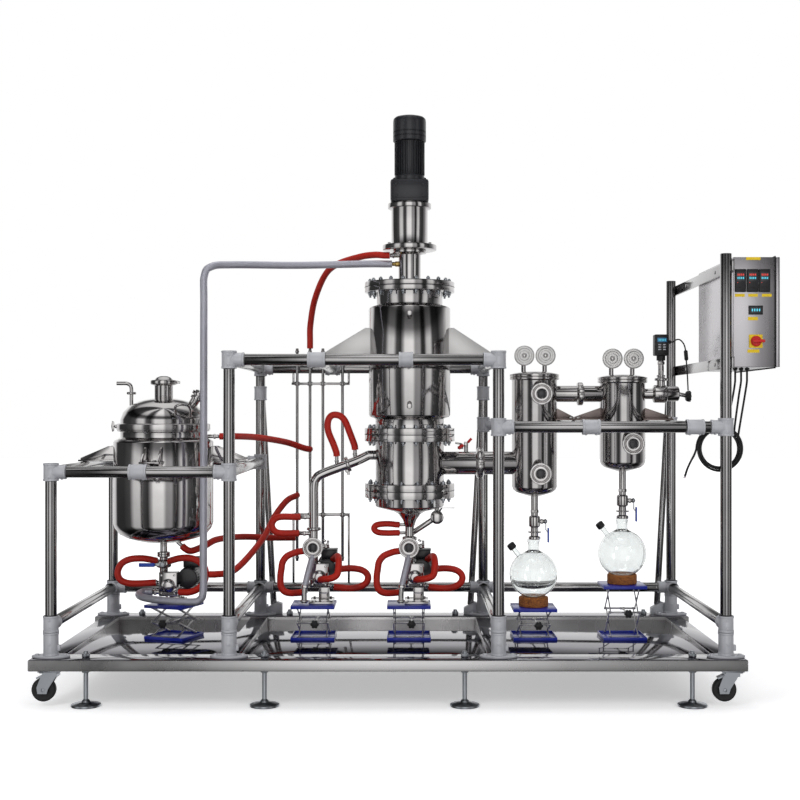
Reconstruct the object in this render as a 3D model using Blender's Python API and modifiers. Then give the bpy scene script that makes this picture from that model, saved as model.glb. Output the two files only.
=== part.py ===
"""A molecular distillation unit on a wheeled stainless base.

Metres, +Z up, X to the right and Y to the back. The origin is on the floor,
under the middle of the unit's outline. A drive motor stands on an evaporator
column. Feed, distillate and residue each have a gear pump, and two condensers
with round flasks stand on the right.
"""

import math

import bmesh
import bpy
from mathutils import Matrix, Vector

GAP = 0.0003
BEND_STEP = math.radians(32)

BASE_LEFT = -1.572
BASE_RIGHT = 1.419
BASE_HALF_DEPTH = 0.645
BASE_TOP = 0.205
RAIL_HEIGHT = 0.047
RAIL_WIDTH = 0.140
CROSS_RAIL_WIDTH = 0.085
DECK_TOP = 0.190
DECK_THICKNESS = 0.004

POST_X = (-1.493, -0.745, 0.387, 1.342)
POST_Y = 0.575
TUBE_R = 0.02415
FITTING_R = 0.031
FITTING_LENGTH = 0.075
SOCKET_REACH = 0.064
SLEEVE_R = 0.0325
SLEEVE_TOP = 0.380
LOW_RAIL_Z = 0.345
LEFT_RAIL_Z = 0.983
MAIN_RAIL_Z = 1.455
RIGHT_RAIL_Z = 1.172
CABINET_POST_TOP = 1.900
POST_OVERRUN = 0.030
COLUMN_CROSS_X = -0.378
CONDENSER_CROSS_X = (0.776, 1.212)
STAY_TOP_Z = 1.330
STAY_LEAN = 0.062
CABLE_BAR_Z = (1.443, 1.850)

FOOT_X = (-1.346, -0.596, 0.245, 1.201)
FOOT_PAD_R = 0.0625
FOOT_ROD_R = 0.010

WHEEL_R = 0.050
WHEEL_WIDTH = 0.032
WHEEL_AXLE_Z = 0.071
WHEEL_BORE_R = 0.0065
AXLE_R = 0.006
CASTER_X = (-1.492, 1.364)
CASTER_TRAIL = 0.030

COLUMN_X = 0.013
MOTOR_BASE_Z = 2.200
MOTOR_HEIGHT = 0.404
MOTOR_TOP = MOTOR_BASE_Z + MOTOR_HEIGHT
MOTOR_R = 0.068
MOTOR_CAP_R = 0.0765
LANTERN_BASE_Z = 1.985
LANTERN_R = 0.084
SHAFT_R = 0.0125
SHAFT_BORE_R = 0.0155
NECK_R = 0.0515
FLANGE_R = 0.208
HEAD_SPLIT_Z = 1.811
JACKET_R = 0.189
JACKET_TOP = 1.722
JACKET_BOTTOM = 1.212
SHELL_R = 0.1585
BODY_SPLIT_Z = 1.131
COLLECTOR_SPLIT_Z = 0.873
EVAPORATOR_BORE_R = 0.130
WIPER_R = 0.1265
INNER_CONDENSER_R = 0.050
RESIDUE_OUTLET_Z = 0.641
LUG_FOOT = 0.010

VESSEL_X = -1.128
VESSEL_JACKET_R = 0.229
VESSEL_R = 0.1975
VESSEL_BORE_R = 0.190
VESSEL_RIM_R = 0.211
VESSEL_RIM_Z = 1.158
VESSEL_JACKET_TOP = 1.105
VESSEL_JACKET_BOTTOM = 0.700
VESSEL_BOTTOM = 0.627
LID_TOP = 1.300
LID_PORT_TOP = 1.402

CONDENSER_X = (0.593, 1.001)
CONDENSER_R = 0.1045
CONDENSER_TOP = (1.411, 1.397)
CONDENSER_BOTTOM = (0.850, 0.966)
VAPOUR_Z = 0.998
VAPOUR_R = 0.0535
VAPOUR_JOINT_X = 0.340
TRANSFER_Z = 1.319
TRANSFER_R = 0.0375
TRANSFER_JOINT_X = 0.804
OUTLET_END_X = 1.262

FLASK_X = (0.588, 0.999)
FLASK_R = 0.111
FLASK_WALL = 0.004
FLASK_Z = (0.483, 0.580)
FLASK_NECK_R = 0.025
FLASK_NECK_LENGTH = 0.050
CORK_R = 0.0685
CORK_BORE_R = 0.032
CORK_HEIGHT = 0.045

JACK_PLATE = 0.200
JACK_PLATE_THICKNESS = 0.006
JACK_ARM = 0.170
JACK_ARM_WIDTH = 0.011
PUMP_JACK_TOP = 0.348
FLASK_JACK_TOP = (0.334, 0.439)

PUMP_X = (-0.431, 0.010)
FEED_PUMP_X = -1.128
HOSE_R = 0.0155
PIPE_SLEEVE_R = 0.0165
SIDE_BARB_LENGTH = 0.068
SIDE_BARB_Z = 0.672

CABINET_LEFT = 1.3728
CABINET_FRONT = -0.575
CABINET_BACK = 0.080
CABINET_BOTTOM = 1.424
CABINET_TOP = 1.886
CABINET_WALL = 0.004
DOOR_FACE_X = 1.569
DOOR_THICKNESS = 0.016
SWITCH_X = 1.4665
SWITCH_Z = 1.532
CABLE_GLANDS = ((1.412, -0.450), (1.440, -0.440), (1.468, -0.430))
CABLE_R = 0.0045
COIL_CENTRE = (1.325, -0.5293, 1.080)
COIL_R = 0.088
COIL_THICK = 0.014

RISER_X = (-0.555, -0.490, -0.425, -0.326)
RISER_Y = 0.535
RISER_R = 0.0075
RISER_TOP = 1.556
RISER_BOTTOM = 0.482


def clear_scene():
    for obj in list(bpy.data.objects):
        bpy.data.objects.remove(obj, do_unlink=True)


def paint(name, colour, roughness, metallic=0.0, transmission=0.0):
    material = bpy.data.materials.new(name)
    material.use_nodes = True
    shader = material.node_tree.nodes["Principled BSDF"]
    shader.inputs["Base Color"].default_value = (*colour, 1.0)
    shader.inputs["Roughness"].default_value = roughness
    shader.inputs["Metallic"].default_value = metallic
    shader.inputs["Transmission Weight"].default_value = transmission
    return material


clear_scene()
UNIT = bpy.data.collections.new("molecular_distillation_unit")
TOOLS = bpy.data.collections.new("tools")
bpy.context.scene.collection.children.link(UNIT)
bpy.context.scene.collection.children.link(TOOLS)

STEEL = paint("polished_steel", (0.62, 0.61, 0.60), 0.12, 1.0)
BRUSHED = paint("brushed_steel", (0.55, 0.54, 0.53), 0.32, 1.0)
ZINC = paint("zinc_plate", (0.50, 0.52, 0.54), 0.38, 0.9)
BLACK = paint("black_enamel", (0.015, 0.015, 0.017), 0.40)
RUBBER = paint("black_rubber", (0.02, 0.02, 0.02), 0.70)
BLUE = paint("blue_enamel", (0.02, 0.04, 0.45), 0.35)
RED = paint("red_silicone", (0.75, 0.03, 0.02), 0.45)
CORK = paint("cork", (0.50, 0.20, 0.07), 0.85)
GLASS = paint("borosilicate_glass", (0.95, 0.97, 0.97), 0.02, 0.0, 0.95)
FOIL = paint("silver_sleeve", (0.55, 0.56, 0.60), 0.45, 0.6)


def tool(mesh):
    obj = bpy.data.objects.new("tool", mesh)
    TOOLS.objects.link(obj)
    obj.hide_render = True
    obj.display_type = "WIRE"
    return obj


def from_bmesh(body):
    mesh = bpy.data.meshes.new("tool")
    body.to_mesh(mesh)
    body.free()
    return tool(mesh)


def block(size, centre, round_by=0.0, turn=0.0):
    body = bmesh.new()
    spin = Matrix.Rotation(turn, 4, "Z")
    matrix = Matrix.Translation(centre) @ spin @ Matrix.Diagonal((*size, 1.0))
    bmesh.ops.create_cube(body, size=1.0, matrix=matrix)
    if round_by:
        bmesh.ops.bevel(body, geom=body.edges[:], offset=round_by, segments=1, affect="EDGES")
    return from_bmesh(body)


def rod(start, end, radius, sides=None, end_radius=None):
    sides = sides or (6 if radius < 0.0135 else 8)
    start = Vector(start)
    end = Vector(end)
    axis = end - start
    aim = axis.to_track_quat("Z", "Y").to_matrix().to_4x4()
    body = bmesh.new()
    bmesh.ops.create_cone(
        body,
        cap_ends=True,
        segments=sides,
        radius1=radius,
        radius2=radius if end_radius is None else end_radius,
        depth=axis.length,
        matrix=Matrix.Translation((start + end) / 2) @ aim,
    )
    return from_bmesh(body)


def baked(obj):
    graph = bpy.context.evaluated_depsgraph_get()
    mesh = bpy.data.meshes.new_from_object(obj.evaluated_get(graph))
    mesh.transform(obj.matrix_world)
    return mesh


def turned(profile, centre=(0, 0, 0), along=(0, 0, 1), sides=16, closed=False):
    """A lathe shape: (radius, height) points that run down the outer side."""
    mesh = bpy.data.meshes.new("profile")
    count = len(profile)
    edges = [(i, i + 1) for i in range(count - 1)]
    if closed:
        edges.append((count - 1, 0))
    mesh.from_pydata([(r, 0.0, z) for r, z in profile], edges, [])
    guide = tool(mesh)
    screw = guide.modifiers.new("Screw", "SCREW")
    screw.steps = sides
    screw.render_steps = sides
    screw.use_merge_vertices = True
    screw.merge_threshold = 0.00001
    aim = Vector(along).to_track_quat("Z", "Y").to_matrix().to_4x4()
    guide.matrix_world = Matrix.Translation(centre) @ aim
    bpy.context.view_layer.update()
    shape = tool(baked(guide))
    bpy.data.objects.remove(guide)
    return shape


def smooth_route(points, spacing, nearest):
    """Points on a smooth curve through the route's own points, closer together where it bends.

    The first and last stretches stay straight, so a tube meets its port squarely.
    """
    route = [Vector(p) for p in points]
    ends = [route[0] * 2 - route[1]] + route + [route[-1] * 2 - route[-2]]
    fine = []
    for i in range(1, len(ends) - 2):
        a, b, c, d = ends[i - 1 : i + 3]
        for step in range(16):
            t = step / 16
            fine.append(
                0.5 * (2 * b + (c - a) * t + (2 * a - 5 * b + 4 * c - d) * t**2 + (3 * b - a - 3 * c + d) * t**3)
            )
    fine.append(route[-1])
    kept = [route[0], route[1]]
    heading = (route[1] - route[0]).normalized()
    fine = fine[16:-16]
    for place, after in zip(fine[1:], fine[2:]):
        now = (after - place).normalized()
        far = (place - kept[-1]).length
        if far >= spacing or (now.angle(heading) > BEND_STEP and far > nearest):
            kept.append(place)
            heading = now
    if (fine[-1] - kept[-1]).length < nearest and len(kept) > 2:
        kept.pop()
    return kept + route[-2:]


def tube(points, radius, spacing=None, resolution=1):
    """A bent tube, hose or cable along a route."""
    route = smooth_route(points, spacing or radius * 6, radius * 1.6)
    curve = bpy.data.curves.new("route", "CURVE")
    curve.dimensions = "3D"
    curve.bevel_depth = radius
    curve.bevel_resolution = resolution
    curve.use_fill_caps = True
    spline = curve.splines.new("POLY")
    spline.points.add(len(route) - 1)
    for point, place in zip(spline.points, route):
        point.co = (*place, 1.0)
    guide = bpy.data.objects.new("route", curve)
    TOOLS.objects.link(guide)
    bpy.context.view_layer.update()
    body = bmesh.new()
    body.from_mesh(baked(guide))
    bmesh.ops.remove_doubles(body, verts=body.verts, dist=0.00001)
    bmesh.ops.recalc_face_normals(body, faces=body.faces)
    bpy.data.objects.remove(guide)
    return from_bmesh(body)


def plate(outline, thickness, matrix):
    """A flat outline in X and Y, as thick as given, set in place by a matrix."""
    curve = bpy.data.curves.new("outline", "CURVE")
    curve.dimensions = "2D"
    curve.fill_mode = "BOTH"
    curve.extrude = thickness / 2
    spline = curve.splines.new("POLY")
    spline.points.add(len(outline) - 1)
    for point, (x, y) in zip(spline.points, outline):
        point.co = (x, y, 0.0, 1.0)
    spline.use_cyclic_u = True
    guide = bpy.data.objects.new("outline", curve)
    TOOLS.objects.link(guide)
    guide.matrix_world = matrix
    bpy.context.view_layer.update()
    body = bmesh.new()
    body.from_mesh(baked(guide))
    bmesh.ops.remove_doubles(body, verts=body.verts, dist=0.00001)
    bmesh.ops.recalc_face_normals(body, faces=body.faces)
    bpy.data.objects.remove(guide)
    return from_bmesh(body)


def combine(body, others, operation):
    group = bpy.data.collections.new("operands")
    bpy.context.scene.collection.children.link(group)
    for other in others:
        TOOLS.objects.unlink(other)
        group.objects.link(other)
    modifier = body.modifiers.new(operation, "BOOLEAN")
    modifier.operation = operation
    modifier.operand_type = "COLLECTION"
    modifier.collection = group
    modifier.solver = "EXACT"
    bpy.context.view_layer.update()
    result = tool(baked(body))
    for other in others:
        bpy.data.objects.remove(other)
    bpy.data.objects.remove(body)
    bpy.data.collections.remove(group)
    return result


def piece(name, material, solids, cuts=(), pivot=(0, 0, 0)):
    """One named part: the solids joined, the cuts taken out, the origin put at the pivot."""
    body = solids[0]
    if len(solids) > 1:
        body = combine(body, solids[1:], "UNION")
    if cuts:
        body = combine(body, list(cuts), "DIFFERENCE")
    mesh = baked(body)
    bpy.data.objects.remove(body)
    cleaner = bmesh.new()
    cleaner.from_mesh(mesh)
    bmesh.ops.remove_doubles(cleaner, verts=cleaner.verts, dist=0.000002)
    bmesh.ops.dissolve_degenerate(cleaner, edges=cleaner.edges, dist=0.00003)
    cleaner.to_mesh(mesh)
    cleaner.free()
    mesh.transform(Matrix.Translation(-Vector(pivot)))
    mesh.name = name
    mesh.materials.clear()
    mesh.materials.append(material)
    mesh.shade_smooth()
    mesh.set_sharp_from_angle(angle=math.radians(35))
    obj = bpy.data.objects.new(name, mesh)
    obj.location = pivot
    UNIT.objects.link(obj)
    return obj


def junction(x, y, z, arms):
    """A clamp fitting on a post, with a socket for each rail that meets it."""
    half = FITTING_LENGTH / 2
    solids = [rod((x, y, z - half), (x, y, z + half), FITTING_R)]
    for dx, dy in arms:
        radius = 0.0295 if dx else 0.0287
        near = (x + dx * 0.012, y + dy * 0.012, z)
        far = (x + dx * SOCKET_REACH, y + dy * SOCKET_REACH, z)
        solids.append(rod(near, far, radius))
    return solids


def rail_tee(x, y, z, dy):
    """A clamp round a rail that runs along X, with a socket for a cross tube."""
    half = FITTING_LENGTH / 2
    return [
        rod((x - half, y, z), (x + half, y, z), FITTING_R),
        rod((x, y + dy * 0.012, z), (x, y + dy * SOCKET_REACH, z), 0.0287),
    ]


def rail_x(x0, x1, y, z):
    return rod((x0 + 0.0255, y, z), (x1 - 0.0255, y, z), TUBE_R)


def rail_y(x, y0, y1, z):
    return rod((x, y0 + 0.0255, z), (x, y1 - 0.0255, z), TUBE_R)


def post(x, y, top):
    """A post in its sleeve, on an oval floor flange."""
    foot = BASE_TOP + GAP
    oval = rod((0, 0, 0), (0, 0, 0.009), 0.080, 8)
    oval.data.transform(Matrix.Translation((x, y, foot)) @ Matrix.Diagonal((1.0, 0.56, 1.0, 1.0)))
    return [
        oval,
        rod((x, y, foot + 0.004), (x, y, SLEEVE_TOP), SLEEVE_R),
        rod((x, y, SLEEVE_TOP - 0.010), (x, y, top), TUBE_R),
    ]


def stay(x, lean):
    """A brace from a clamp on a back post down to a wedge foot on the base."""
    y = POST_Y + 0.050
    foot = (x + lean, y + 0.002, BASE_TOP + 0.045)
    wedge = [(-0.035, 0.0), (0.045, 0.0), (0.045, 0.052), (0.020, 0.060), (-0.035, 0.030)]
    upright = Matrix.Translation((x + lean, y - 0.011, BASE_TOP + GAP)) @ Matrix.Rotation(math.radians(90), 4, "X")
    return [
        rod((x, POST_Y, STAY_TOP_Z - 0.035), (x, POST_Y, STAY_TOP_Z + 0.035), FITTING_R),
        block((0.016, 0.032, 0.044), (x, POST_Y + 0.041, STAY_TOP_Z)),
        rod((x, y, STAY_TOP_Z + 0.030), foot, 0.017, 6),
        plate(wedge, 0.050, upright),
    ]


def make_base():
    mid_x = (BASE_LEFT + BASE_RIGHT) / 2
    length = BASE_RIGHT - BASE_LEFT
    rail_z = BASE_TOP - RAIL_HEIGHT / 2
    inner = BASE_HALF_DEPTH - RAIL_WIDTH
    solids = []
    for side in (-1, 1):
        centre = (mid_x, side * (BASE_HALF_DEPTH - RAIL_WIDTH / 2), rail_z)
        solids.append(block((length, RAIL_WIDTH, RAIL_HEIGHT), centre))
    for x in POST_X:
        size = (CROSS_RAIL_WIDTH, 2 * inner + 0.012, RAIL_HEIGHT - 0.003)
        solids.append(block(size, (x, 0, rail_z)))
    deck = (POST_X[3] - POST_X[0], 2 * inner + 0.010, DECK_THICKNESS)
    centre = ((POST_X[3] + POST_X[0]) / 2, 0, DECK_TOP - DECK_THICKNESS / 2)
    solids.append(block(deck, centre))
    under = BASE_TOP - RAIL_HEIGHT
    foot = [
        (0.0, under + 0.010),
        (FOOT_ROD_R, under + 0.010),
        (FOOT_ROD_R, 0.026),
        (FOOT_PAD_R, 0.009),
        (FOOT_PAD_R, 0.0),
        (0.0, 0.0),
    ]
    for x in FOOT_X:
        for side in (-1, 1):
            solids.append(turned(foot, (x, side * POST_Y, 0), sides=8))
    for x in CASTER_X:
        for side in (-1, 1):
            centre = (x, side * POST_Y, under - 0.003)
            solids.append(block((0.095, 0.080, 0.014), centre))
    piece("base_frame", BRUSHED, solids)


def make_frames():
    left, second, third, right = POST_X
    y = POST_Y
    solids = []
    for side in (-1, 1):
        solids += post(left, side * y, LEFT_RAIL_Z + POST_OVERRUN)
        solids += junction(left, side * y, LEFT_RAIL_Z, [(1, 0)])
        end = second - SOCKET_REACH - GAP
        solids.append(rod((left + 0.0255, side * y, LEFT_RAIL_Z), (end, side * y, LEFT_RAIL_Z), TUBE_R))
    solids.append(rail_y(left, -y, y, LEFT_RAIL_Z))
    solids.append(rail_y(left, -y, y, LOW_RAIL_Z))
    end = second - SLEEVE_R - GAP
    solids.append(rod((left + 0.0255, y, LOW_RAIL_Z), (end, y, LOW_RAIL_Z), TUBE_R))
    solids += rail_tee(VESSEL_X, -y, LEFT_RAIL_Z, 1)
    solids.append(rod((VESSEL_X, -y + 0.0255, LEFT_RAIL_Z), (VESSEL_X, -0.285, LEFT_RAIL_Z), TUBE_R))
    piece("left_bay_frame", STEEL, solids)

    solids = []
    for x in (second, third):
        for side in (-1, 1):
            inward = 1 if x == second else -1
            solids += post(x, side * y, MAIN_RAIL_Z + POST_OVERRUN)
            solids += junction(x, side * y, MAIN_RAIL_Z, [(inward, 0)])
            outer = LEFT_RAIL_Z if x == second else RIGHT_RAIL_Z
            solids += junction(x, side * y, outer, [(-inward, 0)])
        solids.append(rail_y(x, -y, y, MAIN_RAIL_Z))
        solids.append(rail_y(x, -y, y, LOW_RAIL_Z))
    solids.append(rail_y(second, -y, y, LEFT_RAIL_Z))
    for side in (-1, 1):
        solids.append(rail_x(second, third, side * y, MAIN_RAIL_Z))
    solids += rail_tee(COLUMN_CROSS_X, -y, MAIN_RAIL_Z, 1)
    solids.append(rail_x(second, third, y, LOW_RAIL_Z))
    solids.append(rail_y(COLUMN_CROSS_X, -y, y, MAIN_RAIL_Z))
    solids += stay(second, STAY_LEAN)
    solids += stay(third, -STAY_LEAN)
    piece("main_bay_frame", STEEL, solids)

    solids = []
    for side in (-1, 1):
        solids += post(right, side * y, CABINET_POST_TOP)
        solids += junction(right, side * y, RIGHT_RAIL_Z, [(-1, 0)])
        start = third + SOCKET_REACH + GAP
        solids.append(rod((start, side * y, RIGHT_RAIL_Z), (right - 0.0255, side * y, RIGHT_RAIL_Z), TUBE_R))
    for x in CONDENSER_CROSS_X:
        solids += rail_tee(x, -y, RIGHT_RAIL_Z, 1)
        solids.append(rail_y(x, -y, y, RIGHT_RAIL_Z))
    start = third + SLEEVE_R + GAP
    solids.append(rod((start, y, LOW_RAIL_Z), (right - 0.0255, y, LOW_RAIL_Z), TUBE_R))
    solids.append(rail_y(right, -y, y, LOW_RAIL_Z))
    solids += stay(right, -STAY_LEAN)
    for z in CABLE_BAR_Z:
        solids.append(block((0.012, 2 * y + 0.050, 0.048), (CABINET_LEFT - GAP - 0.006, 0, z)))
    piece("right_bay_frame", STEEL, solids)


def make_casters():
    crown_top = BASE_TOP - RAIL_HEIGHT - 0.010 - GAP
    crown_base = WHEEL_AXLE_Z + WHEEL_R + 0.006
    for x, column in zip(CASTER_X, ("left", "right")):
        for y, row in ((-POST_Y, "front"), (POST_Y, "back")):
            axle_x = x - CASTER_TRAIL
            cheek = [(-0.022, -0.016), (0.016, -0.016), (0.022, 0.004), (0.058, 0.062), (-0.006, 0.062), (-0.026, 0.010)]
            solids = [
                block((0.064, 0.050, crown_top - crown_base), (x, y, (crown_top + crown_base) / 2)),
                rod((axle_x, y - 0.0205, WHEEL_AXLE_Z), (axle_x, y + 0.0205, WHEEL_AXLE_Z), AXLE_R),
            ]
            for side in (-1, 1):
                place = (axle_x, y + side * 0.0205, WHEEL_AXLE_Z)
                upright = Matrix.Translation(place) @ Matrix.Rotation(math.radians(90), 4, "X")
                solids.append(plate(cheek, 0.004, upright))
            pedal = block((0.060, 0.034, 0.007), (0, 0, 0))
            tilt = Matrix.Translation((x - 0.0315, y, crown_base + 0.004)) @ Matrix.Rotation(math.radians(-24), 4, "Y")
            pedal.data.transform(tilt)
            solids.append(pedal)
            piece(f"caster_fork_{row}_{column}", ZINC, solids, pivot=(x, y, crown_top))
            half = WHEEL_WIDTH / 2
            tyre = [
                (WHEEL_BORE_R, half),
                (WHEEL_R, half - 0.005),
                (WHEEL_R, 0.005 - half),
                (WHEEL_BORE_R, -half),
            ]
            wheel = turned(tyre, (axle_x, y, WHEEL_AXLE_Z), (0, 1, 0), 14, closed=True)
            piece(f"caster_wheel_{row}_{column}", RUBBER, [wheel], pivot=(axle_x, y, WHEEL_AXLE_Z))


def flange(top, bottom, radius=FLANGE_R):
    """The outer side of a flange, top to bottom."""
    return [(radius, top), (radius, bottom)]


def make_column():
    x = COLUMN_X
    motor = [
        (0.0, MOTOR_TOP),
        (MOTOR_CAP_R - 0.010, MOTOR_TOP),
        (MOTOR_CAP_R, MOTOR_TOP - 0.010),
        (MOTOR_CAP_R, MOTOR_TOP - 0.117),
        (MOTOR_R, MOTOR_TOP - 0.119),
        (MOTOR_R, MOTOR_BASE_Z + 0.100),
        (0.0, MOTOR_BASE_Z + 0.100),
    ]
    gearbox = block((0.176, 0.176, 0.112), (x, 0, MOTOR_BASE_Z + 0.056), 0.012)
    terminal_box = block((0.085, 0.075, 0.100), (x, MOTOR_R + 0.028, MOTOR_BASE_Z + 0.250), 0.006)
    piece("drive_motor", BLACK, [turned(motor, (x, 0, 0), sides=12), gearbox, terminal_box])

    top = MOTOR_BASE_Z - GAP
    base = LANTERN_BASE_Z
    lantern = flange(top, top - 0.022, 0.100) + [(LANTERN_R, top - 0.022), (LANTERN_R, base + 0.022)]
    lantern += flange(base + 0.022, base, 0.125)
    lantern += [(SHAFT_BORE_R, base), (SHAFT_BORE_R, base + 0.020), (LANTERN_R - 0.008, base + 0.020)]
    lantern += [(LANTERN_R - 0.008, top - 0.018), (0.030, top - 0.018), (0.030, top)]
    windows = []
    for angle in (0, 90):
        slot = block((0.300, 0.074, 0.095), (0, 0, 0))
        matrix = Matrix.Translation((x, 0, (top + base) / 2)) @ Matrix.Rotation(math.radians(angle + 45), 4, "Z")
        slot.data.transform(matrix)
        windows.append(slot)
    piece("motor_lantern", STEEL, [turned(lantern, (x, 0, 0), sides=12, closed=True)], windows)

    top = LANTERN_BASE_Z - GAP
    head = [(0.078, top), (0.078, top - 0.014), (NECK_R, top - 0.016), (NECK_R, 1.834)]
    head += flange(1.834, HEAD_SPLIT_Z + GAP)
    head += [(SHAFT_BORE_R, HEAD_SPLIT_Z + GAP), (SHAFT_BORE_R, top)]
    barb = rod((x - NECK_R + 0.008, 0, 1.962), (x - NECK_R - 0.040, 0, 1.962), 0.011)
    union_nut = rod((x - NECK_R + 0.008, 0, 1.922), (x - NECK_R - 0.030, 0, 1.922), 0.013, 6)
    piece("evaporator_head", STEEL, [turned(head, (x, 0, 0), closed=True), barb, union_nut])

    jacket = flange(HEAD_SPLIT_Z, HEAD_SPLIT_Z - 0.023)
    jacket += [(0.153, HEAD_SPLIT_Z - 0.023), (0.153, JACKET_TOP + 0.006)]
    jacket += [(JACKET_R, JACKET_TOP - 0.004), (JACKET_R, JACKET_BOTTOM + 0.006)]
    jacket += [(SHELL_R, JACKET_BOTTOM - 0.008), (SHELL_R, BODY_SPLIT_Z + 0.030)]
    jacket += flange(BODY_SPLIT_Z + 0.030, BODY_SPLIT_Z + GAP)
    jacket += [(EVAPORATOR_BORE_R, BODY_SPLIT_Z + GAP), (EVAPORATOR_BORE_R, HEAD_SPLIT_Z)]
    solids = [turned(jacket, (x, 0, 0), closed=True)]
    cross_top = MAIN_RAIL_Z + TUBE_R + GAP
    for side, tube_x in ((-1, COLUMN_CROSS_X), (1, POST_X[2])):
        reach = abs(tube_x - x)
        foot = (x + side * (JACKET_R - 0.015 + reach + 0.020) / 2, 0, cross_top + LUG_FOOT / 2)
        solids.append(block((reach + 0.020 - JACKET_R + 0.015, 0.120, LUG_FOOT), foot))
        gusset = [
            (JACKET_R - 0.020, cross_top + 0.004),
            (reach + 0.010, cross_top + 0.004),
            (reach + 0.010, cross_top + 0.024),
            (JACKET_R + 0.015, 1.622),
            (JACKET_R - 0.020, 1.622),
        ]
        outline = [(side * a, b) for a, b in gusset]
        for y in (-0.050, 0.050):
            upright = Matrix.Translation((x, y, 0)) @ Matrix.Rotation(math.radians(90), 4, "X")
            solids.append(plate(outline, 0.008, upright))
    for z in (1.680, 1.262):
        solids.append(rod((x, -JACKET_R + 0.010, z), (x, -JACKET_R - 0.030, z), 0.012))
    piece("evaporator_jacket", STEEL, solids)

    top = BODY_SPLIT_Z
    collector = flange(top, top - 0.031) + [(SHELL_R, top - 0.031), (SHELL_R, 0.905)]
    collector += flange(0.905, COLLECTOR_SPLIT_Z + GAP)
    collector += [(EVAPORATOR_BORE_R, COLLECTOR_SPLIT_Z + GAP), (EVAPORATOR_BORE_R, top)]
    vapour = [(0.0, VAPOUR_JOINT_X - x), (VAPOUR_R + 0.015, VAPOUR_JOINT_X - x)]
    vapour += [(VAPOUR_R + 0.015, VAPOUR_JOINT_X - x - 0.014), (VAPOUR_R, VAPOUR_JOINT_X - x - 0.018)]
    vapour += [(VAPOUR_R, SHELL_R - 0.020), (0.0, SHELL_R - 0.020)]
    solids = [
        turned(collector, (x, 0, 0), closed=True),
        turned(vapour, (x, 0, VAPOUR_Z), (1, 0, 0), 12),
        rod((x - SHELL_R + 0.014, 0, 1.035), (x - 0.168, 0, 1.035), 0.022),
        rod((0.275, 0, VAPOUR_Z + VAPOUR_R - 0.010), (0.275, 0, VAPOUR_Z + VAPOUR_R + 0.052), 0.011),
        rod((0.255, 0, VAPOUR_Z + 0.088), (0.295, 0, VAPOUR_Z + 0.088), 0.014, 8),
    ]
    piece("collector_body", STEEL, solids)

    top = COLLECTOR_SPLIT_Z
    cone = [(0.0, 0.730), (0.014, 0.732), (0.112, 0.815), (0.112, top)] + flange(top, 0.840)
    cone += [(SHELL_R, 0.840), (SHELL_R, 0.798), (0.070, 0.772), (0.021, 0.702), (0.0, 0.702)]
    solids = [
        turned(cone, (x, 0, 0)),
        rod((x, 0, 0.706), (x, 0, RESIDUE_OUTLET_Z + 0.010), 0.0205),
        rod((x, 0, RESIDUE_OUTLET_Z + 0.015), (x, 0, RESIDUE_OUTLET_Z), 0.034),
        rod((x + 0.010, 0, 0.672), (0.118, -0.010, 0.735), 0.013),
        rod((0.140, -0.052, 0.748), (0.140, 0.026, 0.748), 0.030, 10),
        rod((0.140, -0.010, 0.801), (0.140, -0.010, 0.760), 0.012),
        rod((x - 0.018, 0, 0.7115), (x - 0.050, 0, 0.7115), 0.008),
        rod((x - 0.012, 0, 0.674), (x - 0.050, 0, 0.674), 0.008),
    ]
    loop = [(x - 0.046, 0, 0.7115), (x - 0.100, 0, 0.716), (x - 0.150, 0, 0.713), (x - 0.166, 0, 0.696)]
    loop += [(x - 0.150, 0, 0.680), (x - 0.100, 0, 0.673), (x - 0.046, 0, 0.674)]
    solids.append(tube(loop, HOSE_R - 0.0015, 0.080, 1))
    piece("residue_cone", STEEL, solids)

    top = MOTOR_BASE_Z - GAP
    shaft = rod((x, 0, top), (x, 0, 1.704), SHAFT_R)
    coupling = rod((x, 0, top - 0.045), (x, 0, top - 0.110), 0.028)
    solids = [shaft, coupling, rod((x, 0, 1.712), (x, 0, 1.700), WIPER_R - 0.012, 12)]
    ring = [(0.114, 1.235), (0.114, 1.220), (0.090, 1.220), (0.090, 1.235)]
    solids.append(turned(ring, (x, 0, 0), sides=12, closed=True))
    for turn in range(4):
        angle = math.radians(90 * turn)
        middle = WIPER_R - 0.014
        centre = (x + math.cos(angle) * middle, math.sin(angle) * middle, 1.462)
        solids.append(block((0.026, 0.012, 0.510), centre, turn=angle))
    piece("wiper_rotor", STEEL, solids, pivot=(x, 0, 1.700))

    finger = [(0.0, 1.660), (0.030, 1.655), (INNER_CONDENSER_R, 1.630), (INNER_CONDENSER_R, 0.980)]
    finger += [(0.030, 0.955), (0.018, 0.950), (0.018, COLLECTOR_SPLIT_Z + 0.004), (0.0, COLLECTOR_SPLIT_Z + 0.004)]
    solids = [turned(finger, (x, 0, 0), sides=12)]
    for turn in range(3):
        angle = math.radians(120 * turn + 90)
        arm = block((0.130, 0.016, 0.010), (0.059, 0, 0))
        spin = Matrix.Rotation(angle, 4, "Z")
        arm.data.transform(Matrix.Translation((x, 0, COLLECTOR_SPLIT_Z + GAP + 0.005)) @ spin)
        solids.append(arm)
    piece("inner_condenser", STEEL, solids)

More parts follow.
